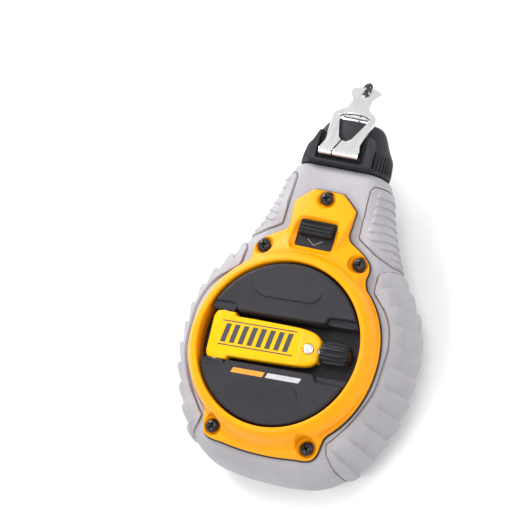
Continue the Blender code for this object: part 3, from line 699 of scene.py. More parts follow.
def make_housing():
    """The case: rounded all round, flat front and back, open at the neck's end and under the frame."""
    half_steps = 150
    total = HALF_LENGTHS[-1]
    lengths = [total * k / half_steps for k in range(half_steps + 1)]
    arounds = 30
    skins = {}
    for index, length in enumerate(lengths):
        for row in range(arounds + 1):
            skins[index, row] = housing_point(length, row / arounds * 2 - 1)

    def side(u, v):
        column = round((u - 0.5) * 2 * half_steps)
        point = skins[abs(column), round(v * arounds)].copy()
        point.x = math.copysign(point.x, column)
        return point

    shell = sheet_of("housing_shell", half_steps * 2, arounds, side)
    across = 16
    for row, level in ((0, back_z), (arounds, front_z)):
        def face(u, v, row=row, level=level):
            edge = skins[round(v * half_steps), row]
            return Vector((edge.x * (u * 2 - 1), edge.y, level(edge.y)))

        face_sheet = sheet_of(f"broad_face_{row}", across, half_steps, face)
        only(shell)
        face_sheet.select_set(True)
        bpy.ops.object.join()
    tidy_faces(shell, 0.002)
    bpy.ops.object.mode_set(mode="EDIT")
    bpy.ops.mesh.select_all(action="SELECT")
    bpy.ops.mesh.bisect(plane_co=(0, NECK_END, 0), plane_no=(0, 1, 0), clear_outer=True)
    bpy.ops.object.mode_set(mode="OBJECT")
    round_neck_end(shell)
    wall = shell.modifiers.new("wall", "SOLIDIFY")
    wall.thickness = 2.3
    wall.offset = -1
    only(shell)
    bpy.ops.object.modifier_apply(modifier="wall")
    carve(shell, turned("front_opening", [(35.0, 25), (35.0, 50)], 128))
    return finish(shell, "reel", "housing_grey", ["housing"])


def make_collar():
    """The wall under the front opening, on which the gear plate rests."""
    profile = [(33.0, 25.0), (33.0, 27.0), (35.0, 27.0), (35.0, 32.2), (37.2, 32.2), (37.2, 25.0)]
    return finish(ring_of("gear_case_collar", profile, 96), "reel", "housing_grey")


def inset_to_around(inset):
    """How far round the section lies at a distance in from the outline."""
    if inset <= ROUNDING:
        return math.acos(1 - inset / ROUNDING) / (math.pi / 2)
    return 1 + (inset - ROUNDING) / ROUNDING


def make_pad(name, front_edge, relief, columns, rows, raised=0.75, rim=0.9):
    """A raised grip panel that wraps round the side, from its front edge to the same edge on the back.

    front_edge is a table of (y, distance in from the outline). relief(u, v) is what the panel's own pattern
    adds, with u along it from the foot and v from front to back.
    """
    table = [(outline_length(y), inset) for y, inset in front_edge]
    start, stop = table[0][0], table[-1][0]

    def place(u, v):
        length = mix(start, stop, u)
        edge = inset_to_around(table_value(table, length))
        along = min(u, 1 - u) * (stop - start)
        span = edge * 2 * 16
        across = min(v, 1 - v) * span
        shoulder = smoothstep(along / rim) * smoothstep(across / rim)
        rise = -0.5 + (raised + 0.5) * shoulder + relief(u, v) * smoothstep(min(along, across) / 2.2)
        spot = housing_point(length, mix(edge, -edge, v), rise)
        spot.z = max(spot.z, 0.05)
        return spot

    pad = sheet_of(name, columns, rows, place)
    tidy_faces(pad, 0.0005)
    skin = pad.modifiers.new("skin", "SOLIDIFY")
    skin.thickness = 0.5
    skin.offset = -1
    bpy.ops.object.modifier_apply(modifier="skin")
    return pad


def neck_ribs(u, v):
    """Short ribs that wrap round the side of the neck."""
    facet = (u * 9.2 + 0.1) % 1.0
    ramp = smoothstep(facet / 0.14) if facet < 0.14 else ((1 - facet) / 0.86) ** 0.8
    return 0.7 * ramp * smoothstep((0.37 - abs(v - 0.5)) / 0.025) - 0.15


def side_steps(u, v):
    """Overlapping facets along the side, each rising toward the neck and ending in a small step."""
    facet = (u * 10.5 + 0.35) % 1.0
    ramp = smoothstep(facet / 0.93) if facet < 0.93 else smoothstep((1 - facet) / 0.07)
    return (1.25 * ramp - 0.45) * smoothstep((0.41 - abs(v - 0.5)) / 0.1)


def make_groove_shade_line(name, front_edge, columns):
    """A fine dark line of painted shade that follows a grip panel's edge, where its groove lies in shade."""
    table = [(outline_length(y), inset) for y, inset in front_edge]
    start, stop = table[0][0], table[-1][0]
    spots = []
    for step in range(columns + 1):
        length = mix(start, stop, step / columns)
        spots.append((length, inset_to_around(table_value(table, length))))
    ends = []
    for step in range(1, 40):
        ends.append((stop, mix(spots[-1][1], -spots[-1][1], step / 40)))
    route = spots + ends + [(length, -edge) for length, edge in reversed(spots)]
    route += [(start, mix(-spots[0][1], spots[0][1], step / 40)) for step in range(1, 40)]
    places = [housing_point(length, edge, 0.0) for length, edge in route]
    above = [housing_point(length, edge, 1.0) for length, edge in route]
    rings = []
    for index, (place, over) in enumerate(zip(places, above)):
        along = (places[(index + 1) % len(places)] - places[index - 1]).normalized()
        up = (over - place).normalized()
        side = along.cross(up).normalized()
        ring = []
        for a in (0, 60, 120, 180, 240, 300):
            spot = place + side * 0.24 * math.cos(math.radians(a)) + up * 0.16 * math.sin(math.radians(a))
            ring.append((spot.x, spot.y, max(spot.z, 0.02)))
        rings.append(ring)
    return loft(name, rings + [rings[0]], ends=False)


def finish_both_sides(piece, **manner):
    """Finishes a right-hand piece of the housing and its left-hand twin."""
    finish(mirror_of(piece, piece.name.replace("right", "left")), "reel", "housing_grey", **manner)
    finish(piece, "reel", "housing_grey", **manner)


def make_pads():
    """Grip panels at the neck and the belly, with lines of painted shade along their edging grooves."""
    neck_edge = [(42.2, 1.2), (46.1, 5.3), (52.6, 10.6), (60.0, 7.9), (69.6, 5.8), (71.0, 4.4)]
    neck = make_pad("neck_grip_right", neck_edge, neck_ribs, 130, 72)
    side_edge = [(-41.2, 1.5), (-39.9, 7.0), (-37.2, 9.7), (-22.0, 7.4), (-8.2, 5.8), (8.5, 5.5), (19.3, 6.5),
                 (34.1, 9.6), (39.6, 6.2), (40.7, 1.4)]
    side = make_pad("side_grip_right", side_edge, side_steps, 300, 72)
    finish_both_sides(neck)
    finish_both_sides(side)
    # Painted shade: dark lines along the grooves round the grip panels, on both sides.
    finish_both_sides(make_groove_shade_line("neck_seam_right", neck_edge, 60), sharp=60, look=GROOVE_SHADE_INK)
    finish_both_sides(make_groove_shade_line("side_seam_right", side_edge, 160), sharp=60, look=GROOVE_SHADE_INK)


# --- Frame round the crank disc --------------------------------------------------------------------

def frame_edge():
    """The frame's whole outline, anticlockwise, finely and evenly divided."""
    neck = curve_through([(0, 64.3)] + NECK_PLATE, 4)
    foot = curve_through(FOOT_PLATE + [(0, -41.5)], 4)
    top = math.atan2(NECK_PLATE[-1][1], NECK_PLATE[-1][0]) - 0.05
    low = math.atan2(FOOT_PLATE[0][1], FOOT_PLATE[0][0]) + 0.05
    side = []
    for step in range(49):
        angle = mix(top, low, step / 48)
        side.append((FRAME_SIDE_R * math.cos(angle), FRAME_SIDE_R * math.sin(angle)))
    half = neck + side + foot
    left = [(-x, y) for x, y in half if x > 0.01]
    return [point for point in reversed(half)] + left


def make_frame():
    """Yellow-orange ring with its plates at the neck and foot, hollowed from the ring down to the flat."""
    outline = frame_edge()
    ways = [Vector(point).normalized() for point in outline]
    rings = []
    for radius, height in [(RING_R, 37.5), (RING_R, 44.6)] + curve_through(RING_PROFILE, 4):
        rings.append([(w.x * radius, w.y * radius, height) for w in ways])
    for step in range(1, 13):
        share = step / 12
        row = []
        for way, edge in zip(ways, drawn_in(outline, 1.0)):
            place = (way * RING_FOOT_R).lerp(edge, share)
            land = front_z(place.y) + FRAME_RISE
            low_side = land + (RING_FOOT_Z - land) * (1 - share) ** 2.4
            neck_side = land + (RING_FOOT_Z - land) * (1 - share ** 1.5)
            row.append((place.x, place.y, mix(low_side, neck_side, smoothstep((way.y - 0.7) / 0.22))))
        rings.append(row)
    for inward, drop in ((0.55, 0.06), (0.2, 0.28), (0.0, 0.7), (0.0, 1.45)):
        rings.append([(x, y, front_z(y) + FRAME_RISE - drop) for x, y in drawn_in(outline, inward)])
    rings.append([(w.x * 36.6, w.y * 36.6, front_z(w.y * 36.6) + 1.25) for w in ways])
    rings.append([(w.x * 35.9, w.y * 35.9, max(front_z(w.y * 35.9) + 1.25, 37.5)) for w in ways])
    rings.append(rings[0])
    bezel = loft("frame_bezel", rings, ends=False)
    window = rounded([(-7.8, 40.5), (7.8, 40.5), (7.8, 51.6), (-7.8, 51.6)], 1.2)
    walls = [(30, 0.0), (37.25, 0.0), (37.35, -0.2), (38.3, -1.6), (39.6, -2.1), (45, -3.0)]
    carve(bezel, plateau("window_opening", window, walls))
    carve(bezel, block("slider_bay", (-10.3, 33.6, 30), (10.3, 57.0, 37.0)))
    for x, y in COVER_SCREWS:
        seat = turned("screw_seat", [(3.0, -1.35), (3.0, -0.9), (3.3, -0.35), (4.2, 0.3), (4.4, 8)], 48)
        carve(bezel, move(seat, shift=(x, y, front_z(y) + FRAME_RISE)))
    soften(bezel, 0.18, 2, 40)
    return finish(bezel, "reel", "frame_amber", ["front_frame"], 40)


def make_gasket():
    """Thin dark line of rubber that shows all round under the frame."""
    outline = frame_edge()
    rings = []
    for inward, rise in ((0.0, 0.25), (-0.42, 0.3), (-0.5, 0.7), (-0.35, 1.15), (2.5, 1.2), (2.5, 0.25)):
        rings.append([(x, y, front_z(y) + rise) for x, y in drawn_in(outline, inward)])
    rings.append(rings[0])
    gasket = loft("frame_gasket", rings, ends=False)
    return finish(gasket, "reel", "rubber", ["cover_gasket"])


def make_cover_screws():
    """Domed black screws with a cross recess, each turned its own way."""
    dome = [(1.3, -9.0), (1.3, -0.15), (2.35, -0.1), (2.62, 0.1), (2.62, 0.45), (2.4, 0.95), (1.9, 1.35),
            (1.1, 1.6), (0.02, 1.68)]
    head = turned("cover_screw_head", dome, 40)
    for angle in (0, math.pi / 2):
        arm = plateau("driver_slot", [(-1.6, -0.3), (1.6, -0.3), (1.6, 0.3), (-1.6, 0.3)],
                      [(0.5, 0.12), (1.3, 0.0), (2.2, -0.08)])
        carve(head, move(arm, Matrix.Rotation(angle, 3, "Z")))
    carve(head, turned("driver_point", [(0.05, -0.1), (0.62, 0.55), (0.85, 1.4), (0.9, 2.2)], 16))
    soften(head, 0.05, 2, 40)
    for index, ((x, y), angle) in enumerate(zip(COVER_SCREWS, (0.35, 1.0, 0.2, 0.6, 1.25))):
        node = f"cover_screw_{index + 1}"
        screw = copy_of(head, f"{node}_head")
        move(screw, Matrix.Rotation(angle, 3, "Z"), (x, y, node_box(node)[1].z - 1.66))
        finish(screw, "reel", "black_screws", [node], 30)
    bpy.data.objects.remove(head)


# --- Crank disc, arm and knob ----------------------------------------------------------------------

def crank_turned(piece):
    """Turns a piece of the crank to the angle at which the crank rests."""
    return move(piece, Matrix.Rotation(CRANK_REST, 3, "Z"))


def anticlockwise(outline):
    """The same outline, running anticlockwise."""
    area = sum(x0 * y1 - x1 * y0 for (x0, y0), (x1, y1) in zip(outline, outline[1:] + outline[:1]))
    return outline if area > 0 else outline[::-1]


def make_disc():
    """Charcoal disc with the arm's channel across it and raised panels above, below and at the corners."""
    profile = [(3.06, DISC_UNDER), (33.8, DISC_UNDER), (33.8, 36.7), (DISC_R, 36.9), (DISC_R, DISC_TOP - 1.1),
               (DISC_R - 0.25, DISC_TOP - 0.45), (DISC_R - 0.9, DISC_TOP - 0.05), (DISC_R - 1.5, DISC_TOP),
               (3.06, DISC_TOP)]
    disc = ring_of("disc_body", profile, 160)
    left, right = -19.0, 16.5
    low, high = -CHANNEL_HALF + 0.3, CHANNEL_HALF + 0.3
    channel = [(-40, -12.2), (left - 1.2, -12.2), (left, low), (right, low), (right + 1.6, -12.4),
               (40, -12.4), (40, 13.4), (right + 1.4, 13.0), (right, high), (left, high),
               (left - 1.2, 12.8), (-40, 12.8)]
    walls = [(CHANNEL_FLOOR, 0.9), (37.0, 0.45), (DISC_TOP - 1.0, 0.25), (DISC_TOP - 0.3, 0.0),
             (DISC_TOP + 0.3, -0.7), (60, -0.7)]
    carve(disc, plateau("arm_channel", rounded(channel, 0.8, 3), walls))
    for name, outline, top in (
        ("boss_upper_left", [(-28.6, 12.9), (-29.6, 9.6), (-20.2, 9.6), (-19.3, 12.9)], 44.9),
        ("boss_lower_left", [(-29.8, -9.6), (-28.4, -12.4), (-19.4, -12.4), (-20.2, -9.6)], 44.9),
        ("boss_upper_right", [(16.9, 12.6), (17.4, 10.2), (29.8, 10.2), (28.6, 13.4), (18.0, 13.4)], 43.4),
        ("boss_lower_right", [(17.4, -9.8), (16.9, -11.9), (18.0, -12.8), (28.8, -12.8), (30.0, -9.8)], 43.4),
    ):
        walls = [(36.6, 0.0), (top - 0.5, 0.0), (top - 0.12, 0.14), (top, 0.55)]
        merge(disc, plateau(name, rounded(anticlockwise(outline), 0.7, 4), walls))
    walls = [(DISC_TOP - 1, 0.0), (DISC_TOP + 0.15, 0.0), (DISC_TOP + 0.42, 0.2), (DISC_TOP + 0.5, 0.7)]
    for edge in (
        [(-17.4, 25.4), (-13.6, 18.6), (-10.4, 17.0), (9.6, 17.0), (12.0, 18.4), (15.4, 25.4)],
        [(-17.6, -24.6), (-15.2, -17.6), (-11.4, -15.6), (9.2, -15.6), (11.6, -17.2), (14.6, -24.6)],
    ):
        relief = plateau("relief", rounded(anticlockwise(edge), 0.5, 4), walls)
        for corner in relief.data.vertices:
            if corner.co.z > DISC_TOP:
                corner.co.z -= 0.62 * smoothstep((abs(corner.co.y) - 20.5) / 3.7)
        merge(disc, relief)
    pin_seat = turned("pin_seat", [(1.75, -11.9), (1.75, 11.9)], 24)
    carve(disc, move(pin_seat, Matrix.Rotation(math.pi / 2, 3, "X"), (PIN_X, 0, PIN_Z)))
    soften(disc, 0.14, 2, 40)
    return finish(crank_turned(disc), "crank", "disc_charcoal", ["crank_disc"], 35)


def make_disc_marks():
    """Plain bars where such a disc carries its printing: one amber, one light grey."""
    bars = (("amber_bar", -15.6, -2.6, AMBER_INK), ("grey_bar", -1.4, 12.2, WHITE_INK))
    for name, left, right, look in bars:
        outline = [(left - 0.4, -14.0), (right - 0.4, -14.0), (right + 0.4, -12.0), (left + 0.4, -12.0)]
        bar = plateau(name, rounded(outline, 0.3, 3), [(DISC_TOP - 0.1, 0.0), (DISC_TOP + 0.03, 0.02)])
        finish(crank_turned(bar), "crank", "disc_charcoal", look=look)


ARM_HALF = [(-28.5, 6.8), (-27.8, 8.6), (-26.4, 9.4), (-20.4, 9.4), (-19.5, 9.0), (-18.7, 8.0), (-12, 7.9),
            (0, 7.6), (8, 7.3), (12.4, 6.7), (14.8, 5.4), (16.2, 3.4), (16.6, 1.2)]


def arm_top(x, y):
    """The arm's upper face: slightly crowned, and falling away toward the knob."""
    slope = max(x - 8.6, 0) * math.tan(ARM_SLOPE) * smoothstep((x - 8.0) / 2.0)
    heel = 0.9 * smoothstep((-25.4 - x) / 3.1)
    return ARM_TOP - slope - heel - 0.35 * (abs(y) / 9.4) ** 2


def make_arm():
    """Yellow folding arm, crowned across, with its hinge ears at the left and a rounded, sloped end."""
    half = curve_through(ARM_HALF, 5)
    outline = [(x, -y) for x, y in half] + [(x, y) for x, y in reversed(half)]
    rings = [[(x, y, ARM_UNDER) for x, y in outline]]
    for inward, drop in ((0.0, 0.9), (0.1, 0.45), (0.35, 0.15), (0.75, 0.02)):
        rings.append([(x, y, arm_top(x, y) - drop) for x, y in offset(outline, inward)])
    rim = offset(outline, 0.75)
    for share in (0.85, 0.7, 0.55, 0.4, 0.25, 0.12, 0.0):
        rings.append([(x, y * share, arm_top(x, y * share)) for x, y in rim])
    arm = loft("folding_arm", rings, ends=False, merge=0.004)
    close_holes(arm)
    merge(arm, block("knob_root", (11.2, -4.4, KNOB_LOW + 0.6), (16.2, 4.4, 41.6), 0.6))
    eye = turned("hinge_bore", [(1.56, -15), (1.56, 15)], 32)
    carve(arm, move(eye, Matrix.Rotation(math.pi / 2, 3, "X"), (PIN_X, 0, PIN_Z)))
    bore = turned("spindle_bore", [(1.8, 0), (1.8, 12)], 24)
    carve(arm, move(bore, Matrix.Rotation(math.pi / 2, 3, "Y"), (12.4, 0, KNOB_Z)))
    lean = Matrix.Rotation(ARM_SLOPE, 3, "Y")
    seat = Vector((12.2, 0, ARM_TOP - 3.2 * math.tan(ARM_SLOPE)))
    hollow = turned("rivet_hollow", [(1.35, -2.4), (1.35, -0.65), (2.15, -0.6), (2.35, 0.1), (2.6, 1.5)], 32)
    carve(arm, move(hollow, lean, seat))
    soften(arm, 0.12, 2, 40)
    finish(crank_turned(arm), "arm", "arm_yellow", ["crank_arm"], 38)
    dome = [(1.0, -2.0), (1.0, -0.6), (1.7, -0.55), (1.95, -0.2), (1.9, 0.12), (1.55, 0.38), (1.1, 0.42),
            (0.8, 0.2), (0.4, 0.02), (0.02, 0.0)]
    rivet = move(turned("arm_rivet_head", dome, 40), lean, seat)
    finish(crank_turned(rivet), "arm", "steel", ["arm_rivet"], 40, LOOKS["bright_steel"])


def make_arm_marks():
    """Plain printing on the arm: two thin lines with a row of slanted bars between them."""
    def strip(name, corners):
        """Ink laid on the arm's upper face over an outline of four corners."""
        a, b, c, d = [Vector(corner) for corner in corners]

        def place(u, v):
            spot = a.lerp(b, u).lerp(d.lerp(c, u), v)
            return Vector((spot.x, spot.y, arm_top(spot.x, spot.y) + 0.035))

        sheet = sheet_of(name, 24, 6, place)
        only(sheet)
        bpy.ops.object.mode_set(mode="EDIT")
        bpy.ops.mesh.select_all(action="SELECT")
        bpy.ops.mesh.normals_make_consistent(inside=False)
        bpy.ops.mesh.extrude_region_move(TRANSFORM_OT_translate={"value": (0, 0, -0.08)})
        bpy.ops.mesh.select_all(action="SELECT")
        bpy.ops.mesh.normals_make_consistent(inside=False)
        bpy.ops.object.mode_set(mode="OBJECT")
        finish(crank_turned(sheet), "arm", "arm_yellow", look=DARK_INK)

    for name, y in (("upper_line", 5.5), ("lower_line", -3.9)):
        strip(name, [(-24.0, y - 0.22), (6.8, y - 0.22), (6.8, y + 0.22), (-24.0, y + 0.22)])
    for index in range(8):
        left = -23.2 + 3.65 * index
        corners = [(left, -2.9), (left + 2.1, -2.9), (left + 3.3, 4.5), (left + 1.2, 4.5)]
        strip(f"arm_bar_{index + 1}", corners)


def make_knob():
    """Black knob with grip flutes from end to end and a rounded nose."""
    steps = 168

    def section(x, radius, depth):
        points = []
        for step in range(steps):
            angle = 2 * math.pi * step / steps
            flute = max(math.cos(angle * 12), 0) ** 0.8
            r = radius - depth * flute
            points.append((x, r * math.cos(angle), KNOB_Z + r * math.sin(angle)))
        return points

    profile = [(17.0, 1.56, 0), (17.0, 3.5, 0), (17.15, 3.9, 0), (17.8, 4.2, 0.1), (18.4, 4.4, 0.5),
               (19.6, 4.48, 0.62), (22.0, 4.48, 0.66), (24.6, 4.4, 0.66), (26.4, 4.2, 0.6), (27.3, 3.9, 0.45),
               (27.9, 3.5, 0.25), (28.25, 3.0, 0.05), (28.35, 2.7, 0), (28.3, 2.5, 0), (26.9, 2.5, 0),
               (26.9, 1.56, 0), (17.0, 1.56, 0)]  # place along the knob, radius, depth of the flutes
    knob = loft("fluted_knob", [section(*row) for row in profile], ends=False)
    finish(crank_turned(knob), "knob", "black_plastic", ["crank_knob"], 40)


# --- Lock button -----------------------------------------------------------------------------------

def make_lock_button():
    """Thumb slider: a flat plate under the window with a ribbed block that stands up through it."""
    plate = block("slider_plate", (-8.9, 38.5, 35.65), (8.9, 53.5, 36.85), 0.2)
    thumb = plateau("thumb_block", rounded([(-6.9, 45.0), (6.9, 45.0), (6.9, 50.9), (-6.9, 50.9)], 0.8, 4),
                    [(36.4, 0.0), (39.2, 0.12), (40.0, 0.35), (40.35, 0.9)])
    for y in (46.4, 47.9, 49.4):
        carve(thumb, block("thumb_groove", (-8.5, y - 0.38, 39.7), (8.5, y + 0.38, 42)))
    soften(thumb, 0.14, 2, 35)
    merge(plate, thumb)
    merge(plate, block("slider_tongue", (-2.9, 38.15, 35.65), (2.9, 39.2, 36.85), 0.15))
    finish(plate, "lock", "black_plastic", ["lock_button"], 35)
    chevron = [(-3.4, 43.9), (0, 41.6), (3.4, 43.9), (3.0, 44.25), (0, 42.15), (-3.0, 44.25)]
    arrow = plateau("arrow_mark", chevron, [(36.75, 0.0), (36.9, 0.02)])
    finish(arrow, "lock", "black_plastic", look=ARROW_INK)


# --- Neck cap, hook and line -----------------------------------------------------------------------

CAP_SECTIONS = [(75.4, 18.1, 14.8, 36.2), (75.6, 18.45, 14.5, 36.5), (77.0, 18.6, 14.2, 36.7),
                (80, 18.4, 14.35, 36.6), (83.0, 18.0, 14.6, 36.3), (84.4, 17.5, 15.0, 36.0),
                (85.6, 16.7, 15.4, 35.6), (87.0, 15.8, 16.0, 35.1), (89.2, 14.7, 16.8, 34.3),
                (91.6, 13.5, 17.6, 33.5), (93.6, 12.4, 18.4, 32.8), (94.9, 11.3, 19.0, 32.2),
                (95.4, 10.4, 19.5, 31.7), (95.6, 9.6, 20.0, 31.2)]  # y, half width, back z, front z
CAP_SQUARENESS = 2.12    # 2 would make its sections ellipses
RIB_HALF_WIDTH, RIB_HALF_HEIGHT, RIB_MIDDLE = 18.3, 11.15, 25.45


def on_section(angle):
    """Place on a slightly squared circle of radius 1."""
    across, up = math.cos(angle), math.sin(angle)
    power = 2 / CAP_SQUARENESS
    return math.copysign(abs(across) ** power, across), math.copysign(abs(up) ** power, up)


def cap_ring(y, half_width, low, high, steps=96):
    """A section of the cap, across the neck."""
    points = []
    for step in range(steps):
        across, up = on_section(2 * math.pi * step / steps)
        points.append((half_width * across, y, (low + high) / 2 + (high - low) / 2 * up))
    return points


def carve_cap_ribs(cap):
    """Cuts the grooves between the fine ribs down both sides of the cap."""
    outline = rounded([(77.0, -0.38), (84.2, -0.38), (84.2, 0.38), (77.0, 0.38)], 0.35)
    for side in (1, -1):
        for step in range(13):
            across, up = on_section(math.radians(46 - 6.6 * step))
            spot = Vector((RIB_HALF_WIDTH * across, 0, RIB_MIDDLE + RIB_HALF_HEIGHT * up))
            normal = Vector((across / RIB_HALF_WIDTH, 0, up / RIB_HALF_HEIGHT)).normalized()
            groove = plateau("rib_groove", outline, [(-0.5, 0.25), (0.0, 0.0), (2.0, -0.4)])
            stand = Matrix(((0, -normal.z, normal.x), (1, 0, 0), (0, normal.x, normal.z)))
            move(groove, stand, spot)
            if side < 0:
                groove.data.transform(Matrix.Diagonal((-1, 1, 1, 1)))
                groove.data.flip_normals()
            carve(cap, groove)


def make_cap():
    """Dark cap on the neck with a raised border round the hook's pocket, and fine ribs along its sides."""
    rings = [cap_ring(*section) for section in CAP_SECTIONS]
    inner = []
    for y, width, low, high in CAP_SECTIONS[2:-3]:
        inner.append(cap_ring(y, width - 2.1, low + 2.1, high - 3.5))
    inner[0] = [(x, 75.4, z) for x, y, z in inner[0]]
    cap = loft("neck_cap", rings[::-1] + inner, ends=False)
    close_holes(cap)
    half = [(12.6, 75.6), (13.4, 76.6), (13.1, 82.6), (11.9, 85.8), (10.9, 88.6)]
    border = [(-12.6, 75.6)] + half + [(-x, y) for x, y in reversed(half[1:])]
    walls = [(30.5, -0.5), (36.4, 0.0), (36.95, 0.2), (37.2, 0.75)]
    merge(cap, plateau("pocket_border", rounded(border, 0.9, 4), walls))
    pocket = rounded([(-9.8, 76.9), (9.8, 76.9), (9.8, 99), (-9.8, 99)], 1.0, 4)
    carve(cap, plateau("hook_pocket", pocket, [(34.6, 0.3), (35.0, 0.05), (36.4, 0.0), (45, -2.4)]))
    way_out = turned("line_way_out", [(2.9, 0), (2.9, 20)], 32)
    carve(cap, move(way_out, Matrix.Rotation(-math.pi / 2, 3, "X"), (0, 80, LINE_Z)))
    carve_cap_ribs(cap)
    soften(cap, 0.12, 2, 38)
    finish(cap, "cap", "cap_grey", ["nose_cap"], 38)


HOOK_LEAN = Matrix.Rotation(-math.atan(HOOK_SLOPE), 3, "X")


def leaned(spot):
    """A spot on the hook laid flat from HOOK_Y at z = 0, taken to the hook's slope."""
    return HOOK_LEAN @ (spot - Vector((0, HOOK_Y, 0))) + Vector((0, HOOK_Y, HOOK_Z))


def on_lean(y):
    """Place along the flat hook that comes to y once the hook leans."""
    return HOOK_Y + (y - HOOK_Y) / math.cos(math.atan(HOOK_SLOPE))


def hook_outline(points):
    return [(x, on_lean(y)) for x, y in points]


def make_hook():
    """Stamped, polished hook: a tapering window with a bar at its top, a slit, and a lip curled down."""
    half = hook_outline([(8.3, 80.2), (8.2, 81.4), (7.3, 84.4), (8.4, 92.0), (9.25, 96.8), (8.5, 98.6),
                         (4.8, 101.2), (4.1, 104.6), (6.8, 109.0), (6.2, 110.4), (2.8, 111.8)])
    outline = rounded(half + [(-x, y) for x, y in reversed(half)], 0.55, 4)
    plate = plateau("hook_plate", outline, [(-1.3, 0.22), (-1.08, 0.0), (-0.22, 0.0), (0.0, 0.22)])
    slit = hook_outline([(-0.3, 86.0), (-1.0, 86.0), (-2.95, 79.5), (-2.3, 79.5)])
    carve(plate, plateau("plate_slit", slit, [(-3, 0.0), (2, 0.0)]))
    window = hook_outline([(1.2, 85.1), (2.9, 86.5), (6.3, 95.6), (7.0, 96.5), (6.6, 97.2), (3.2, 98.4),
                           (-0.6, 98.6), (-3.4, 98.2), (-6.6, 97.1), (-6.7, 96.5), (-4.9, 96.5), (-4.6, 95.4),
                           (-5.6, 95.0), (-2.4, 86.8), (-0.8, 85.3)])
    walls = [(-3, 0.0), (-0.2, 0.0), (0.02, -0.15), (2, -0.2)]
    carve(plate, plateau("hook_window", rounded(window, 0.35, 3), walls))
    eye = turned("hook_eye", [(1.9, -3), (1.6, -1.0), (1.6, -0.3), (1.9, 0.05), (2.0, 2)], 32)
    carve(plate, move(eye, shift=(0, on_lean(EYE_Y), 0)))
    bar = hook_outline([(-5.0, 96.7), (5.9, 96.5), (6.1, 97.1), (2.9, 97.6), (-0.6, 97.8), (-4.4, 97.5)])
    merge(plate, plateau("cross_bar", rounded(bar, 0.2, 3), [(-1.25, 0.1), (-0.9, 0.0), (-0.45, 0.12)]))
    soften(plate, 0.08, 2, 40)
    for corner in plate.data.vertices:
        corner.co = leaned(corner.co)
    over = [(80.9, 39.42), (80.0, 39.75), (79.1, 39.6), (78.4, 38.9), (78.15, 37.4), (78.4, 35.5)]
    under = [(79.5, 35.5), (79.35, 37.1), (79.6, 37.95), (80.3, 38.15), (81.1, 37.95)]
    side = curve_through(over, 5) + curve_through(under, 5)
    curl = loft("curled_lip", [[(x, y, z) for y, z in side] for x in (-8.2, -7.9, 7.9, 8.2)])
    carve(curl, block("lip_slit", (-2.9, 77.0, 34.0), (-2.3, 81.6, 41.5)))
    merge(plate, curl)
    soften(plate, 0.08, 2, 45)
    finish(plate, "hook", "bright_steel", ["line_hook"], 35)


def yarn_along(name, route, radius, turns, phase, thickness, look, body, stands_for=()):
    """One strand that winds round a route of (point, side, up), drawn as a tube with closed ends."""
    count = len(route)
    rings = []
    for index, (point, side, up) in enumerate(route):
        angle = phase + 2 * math.pi * turns * index / (count - 1)
        centre = point + (side * math.cos(angle) + up * math.sin(angle)) * radius
        rings.append([tuple(centre + side * across + up * rise) for across, rise in circle(thickness, 8)])
    strand = loft(name, rings)
    return finish(strand, body, "braided_line", stands_for, 60, look)


def make_line_and_knot():
    """The line's lead out of the cap, and its loop through the hook's eye, in black and white yarn."""
    side, up = Vector((1, 0, 0)), Vector((0, 0, 1))
    straight = [(Vector((0, mix(69.6, 103.4, step / 120), LINE_Z)), side, up) for step in range(121)]
    for index, (phase, look) in enumerate(((0, WHITE_YARN), (math.pi, BLACK_YARN))):
        stands = ["line_lead"] if index == 0 else ()
        yarn_along(f"lead_strand_{index + 1}", straight, 0.2, 11, phase, 0.24, look, "line_end", stands)
    centre = Vector((0, on_lean(EYE_Y) + 2.55, -0.65))
    for pass_index, offset_x in enumerate((-0.55, 0.5)):
        loop = []
        for step in range(73):
            angle = 2 * math.pi * step / 72
            away = Vector((0, math.cos(angle), math.sin(angle)))
            spot = centre + away * (2.5 + 0.12 * pass_index) + side * offset_x
            loop.append((leaned(spot), side, HOOK_LEAN @ away))
        for index, look in enumerate((BLACK_YARN, BLACK_YARN if pass_index else WHITE_YARN)):
            stands = ["line_knot"] if pass_index == 0 and index == 0 else ()
            name = f"knot_{pass_index + 1}_strand_{index + 1}"
            yarn_along(name, loop, 0.3, 5, math.pi * index, 0.36, look, "hook", stands)
    tie = []
    for step in range(61):
        angle = 2 * math.pi * 1.6 * step / 60
        along = on_lean(112.0) + 0.9 * step / 60
        spot = Vector((1.15 * math.cos(angle), along, -0.2 + 1.15 * math.sin(angle)))
        tie.append((leaned(spot), side, HOOK_LEAN @ up))
    yarn_along("knot_wrap", tie, 0.05, 2, 0, 0.34, BLACK_YARN, "hook")


# --- Stage -----------------------------------------------------------------------------------------

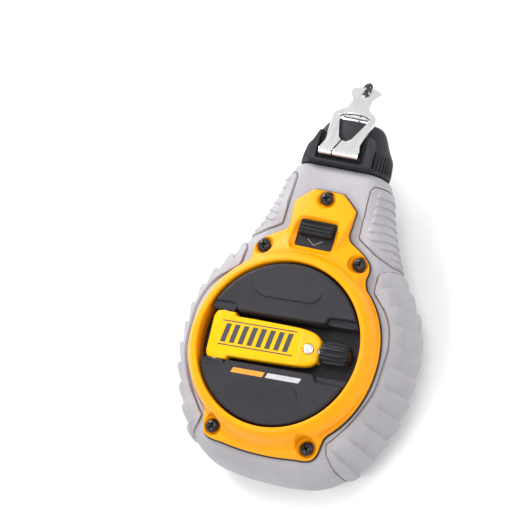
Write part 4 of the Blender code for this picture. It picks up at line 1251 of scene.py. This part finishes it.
def make_stage():
    """Pale plain floor, soft lights and the camera."""
    bpy.ops.object.select_all(action="DESELECT")
    bpy.ops.mesh.primitive_plane_add(size=6, location=(0, 0, 0))
    floor = bpy.context.object
    floor.name = "floor"
    pale = Finish("pale_floor", 0.9, Specular_IOR_Level=0.1)
    pale.mottle(3, 2, (0.93, 0.93, 0.93), (0.95, 0.95, 0.95))
    floor.data.materials.append(pale.material)
    world = bpy.data.worlds.new("soft_room")
    world.use_nodes = True
    world.node_tree.nodes["Background"].inputs["Color"].default_value = (1, 1, 1, 1)
    world.node_tree.nodes["Background"].inputs["Strength"].default_value = 0.72
    bpy.context.scene.world = world
    for name, place, size, power in (
        ("key_light", (-0.62, 0.52, 0.50), 0.45, 7.0),
        ("front_light", (-0.2, -0.45, 0.75), 0.35, 2.2),
        ("side_light", (0.75, 0.15, 0.45), 0.45, 1.6),
        ("top_light", (0.05, 0.2, 0.95), 0.4, 2.4),
    ):
        data = bpy.data.lights.new(name, "AREA")
        data.shape = "DISK"
        data.size = size
        data.energy = power
        lamp = bpy.data.objects.new(name, data)
        bpy.context.scene.collection.objects.link(lamp)
        lamp.location = place
        aim = Vector((0, 0.02, 0.02)) - Vector(place)
        lamp.rotation_euler = aim.to_track_quat("-Z", "Y").to_euler()
    data = bpy.data.cameras.new("camera")
    data.lens = 149.0
    data.sensor_width = 36.0
    camera = bpy.data.objects.new("camera", data)
    bpy.context.scene.collection.objects.link(camera)
    right = Vector((0.91010993, 0.27569497, -0.30934157))
    up = Vector((-0.1915922, 0.94192851, 0.27579541))
    toward = Vector((0.36741305, -0.19173671, 0.91007949))
    turned_to = Matrix((right, up, toward)).transposed()
    camera.matrix_world = Matrix.Translation((0.2800, -0.1244, 0.7858)) @ turned_to.to_4x4()
    bpy.context.scene.camera = camera
    bpy.context.scene.view_settings.view_transform = "Standard"


# --- Everything together ---------------------------------------------------------------------------

finish_working_parts()
make_stage()
make_housing()
make_collar()
make_pads()
make_frame()
make_gasket()
make_cover_screws()
make_disc()
make_disc_marks()
make_arm()
make_arm_marks()
make_knob()
make_lock_button()
make_cap()
make_hook()
make_line_and_knot()
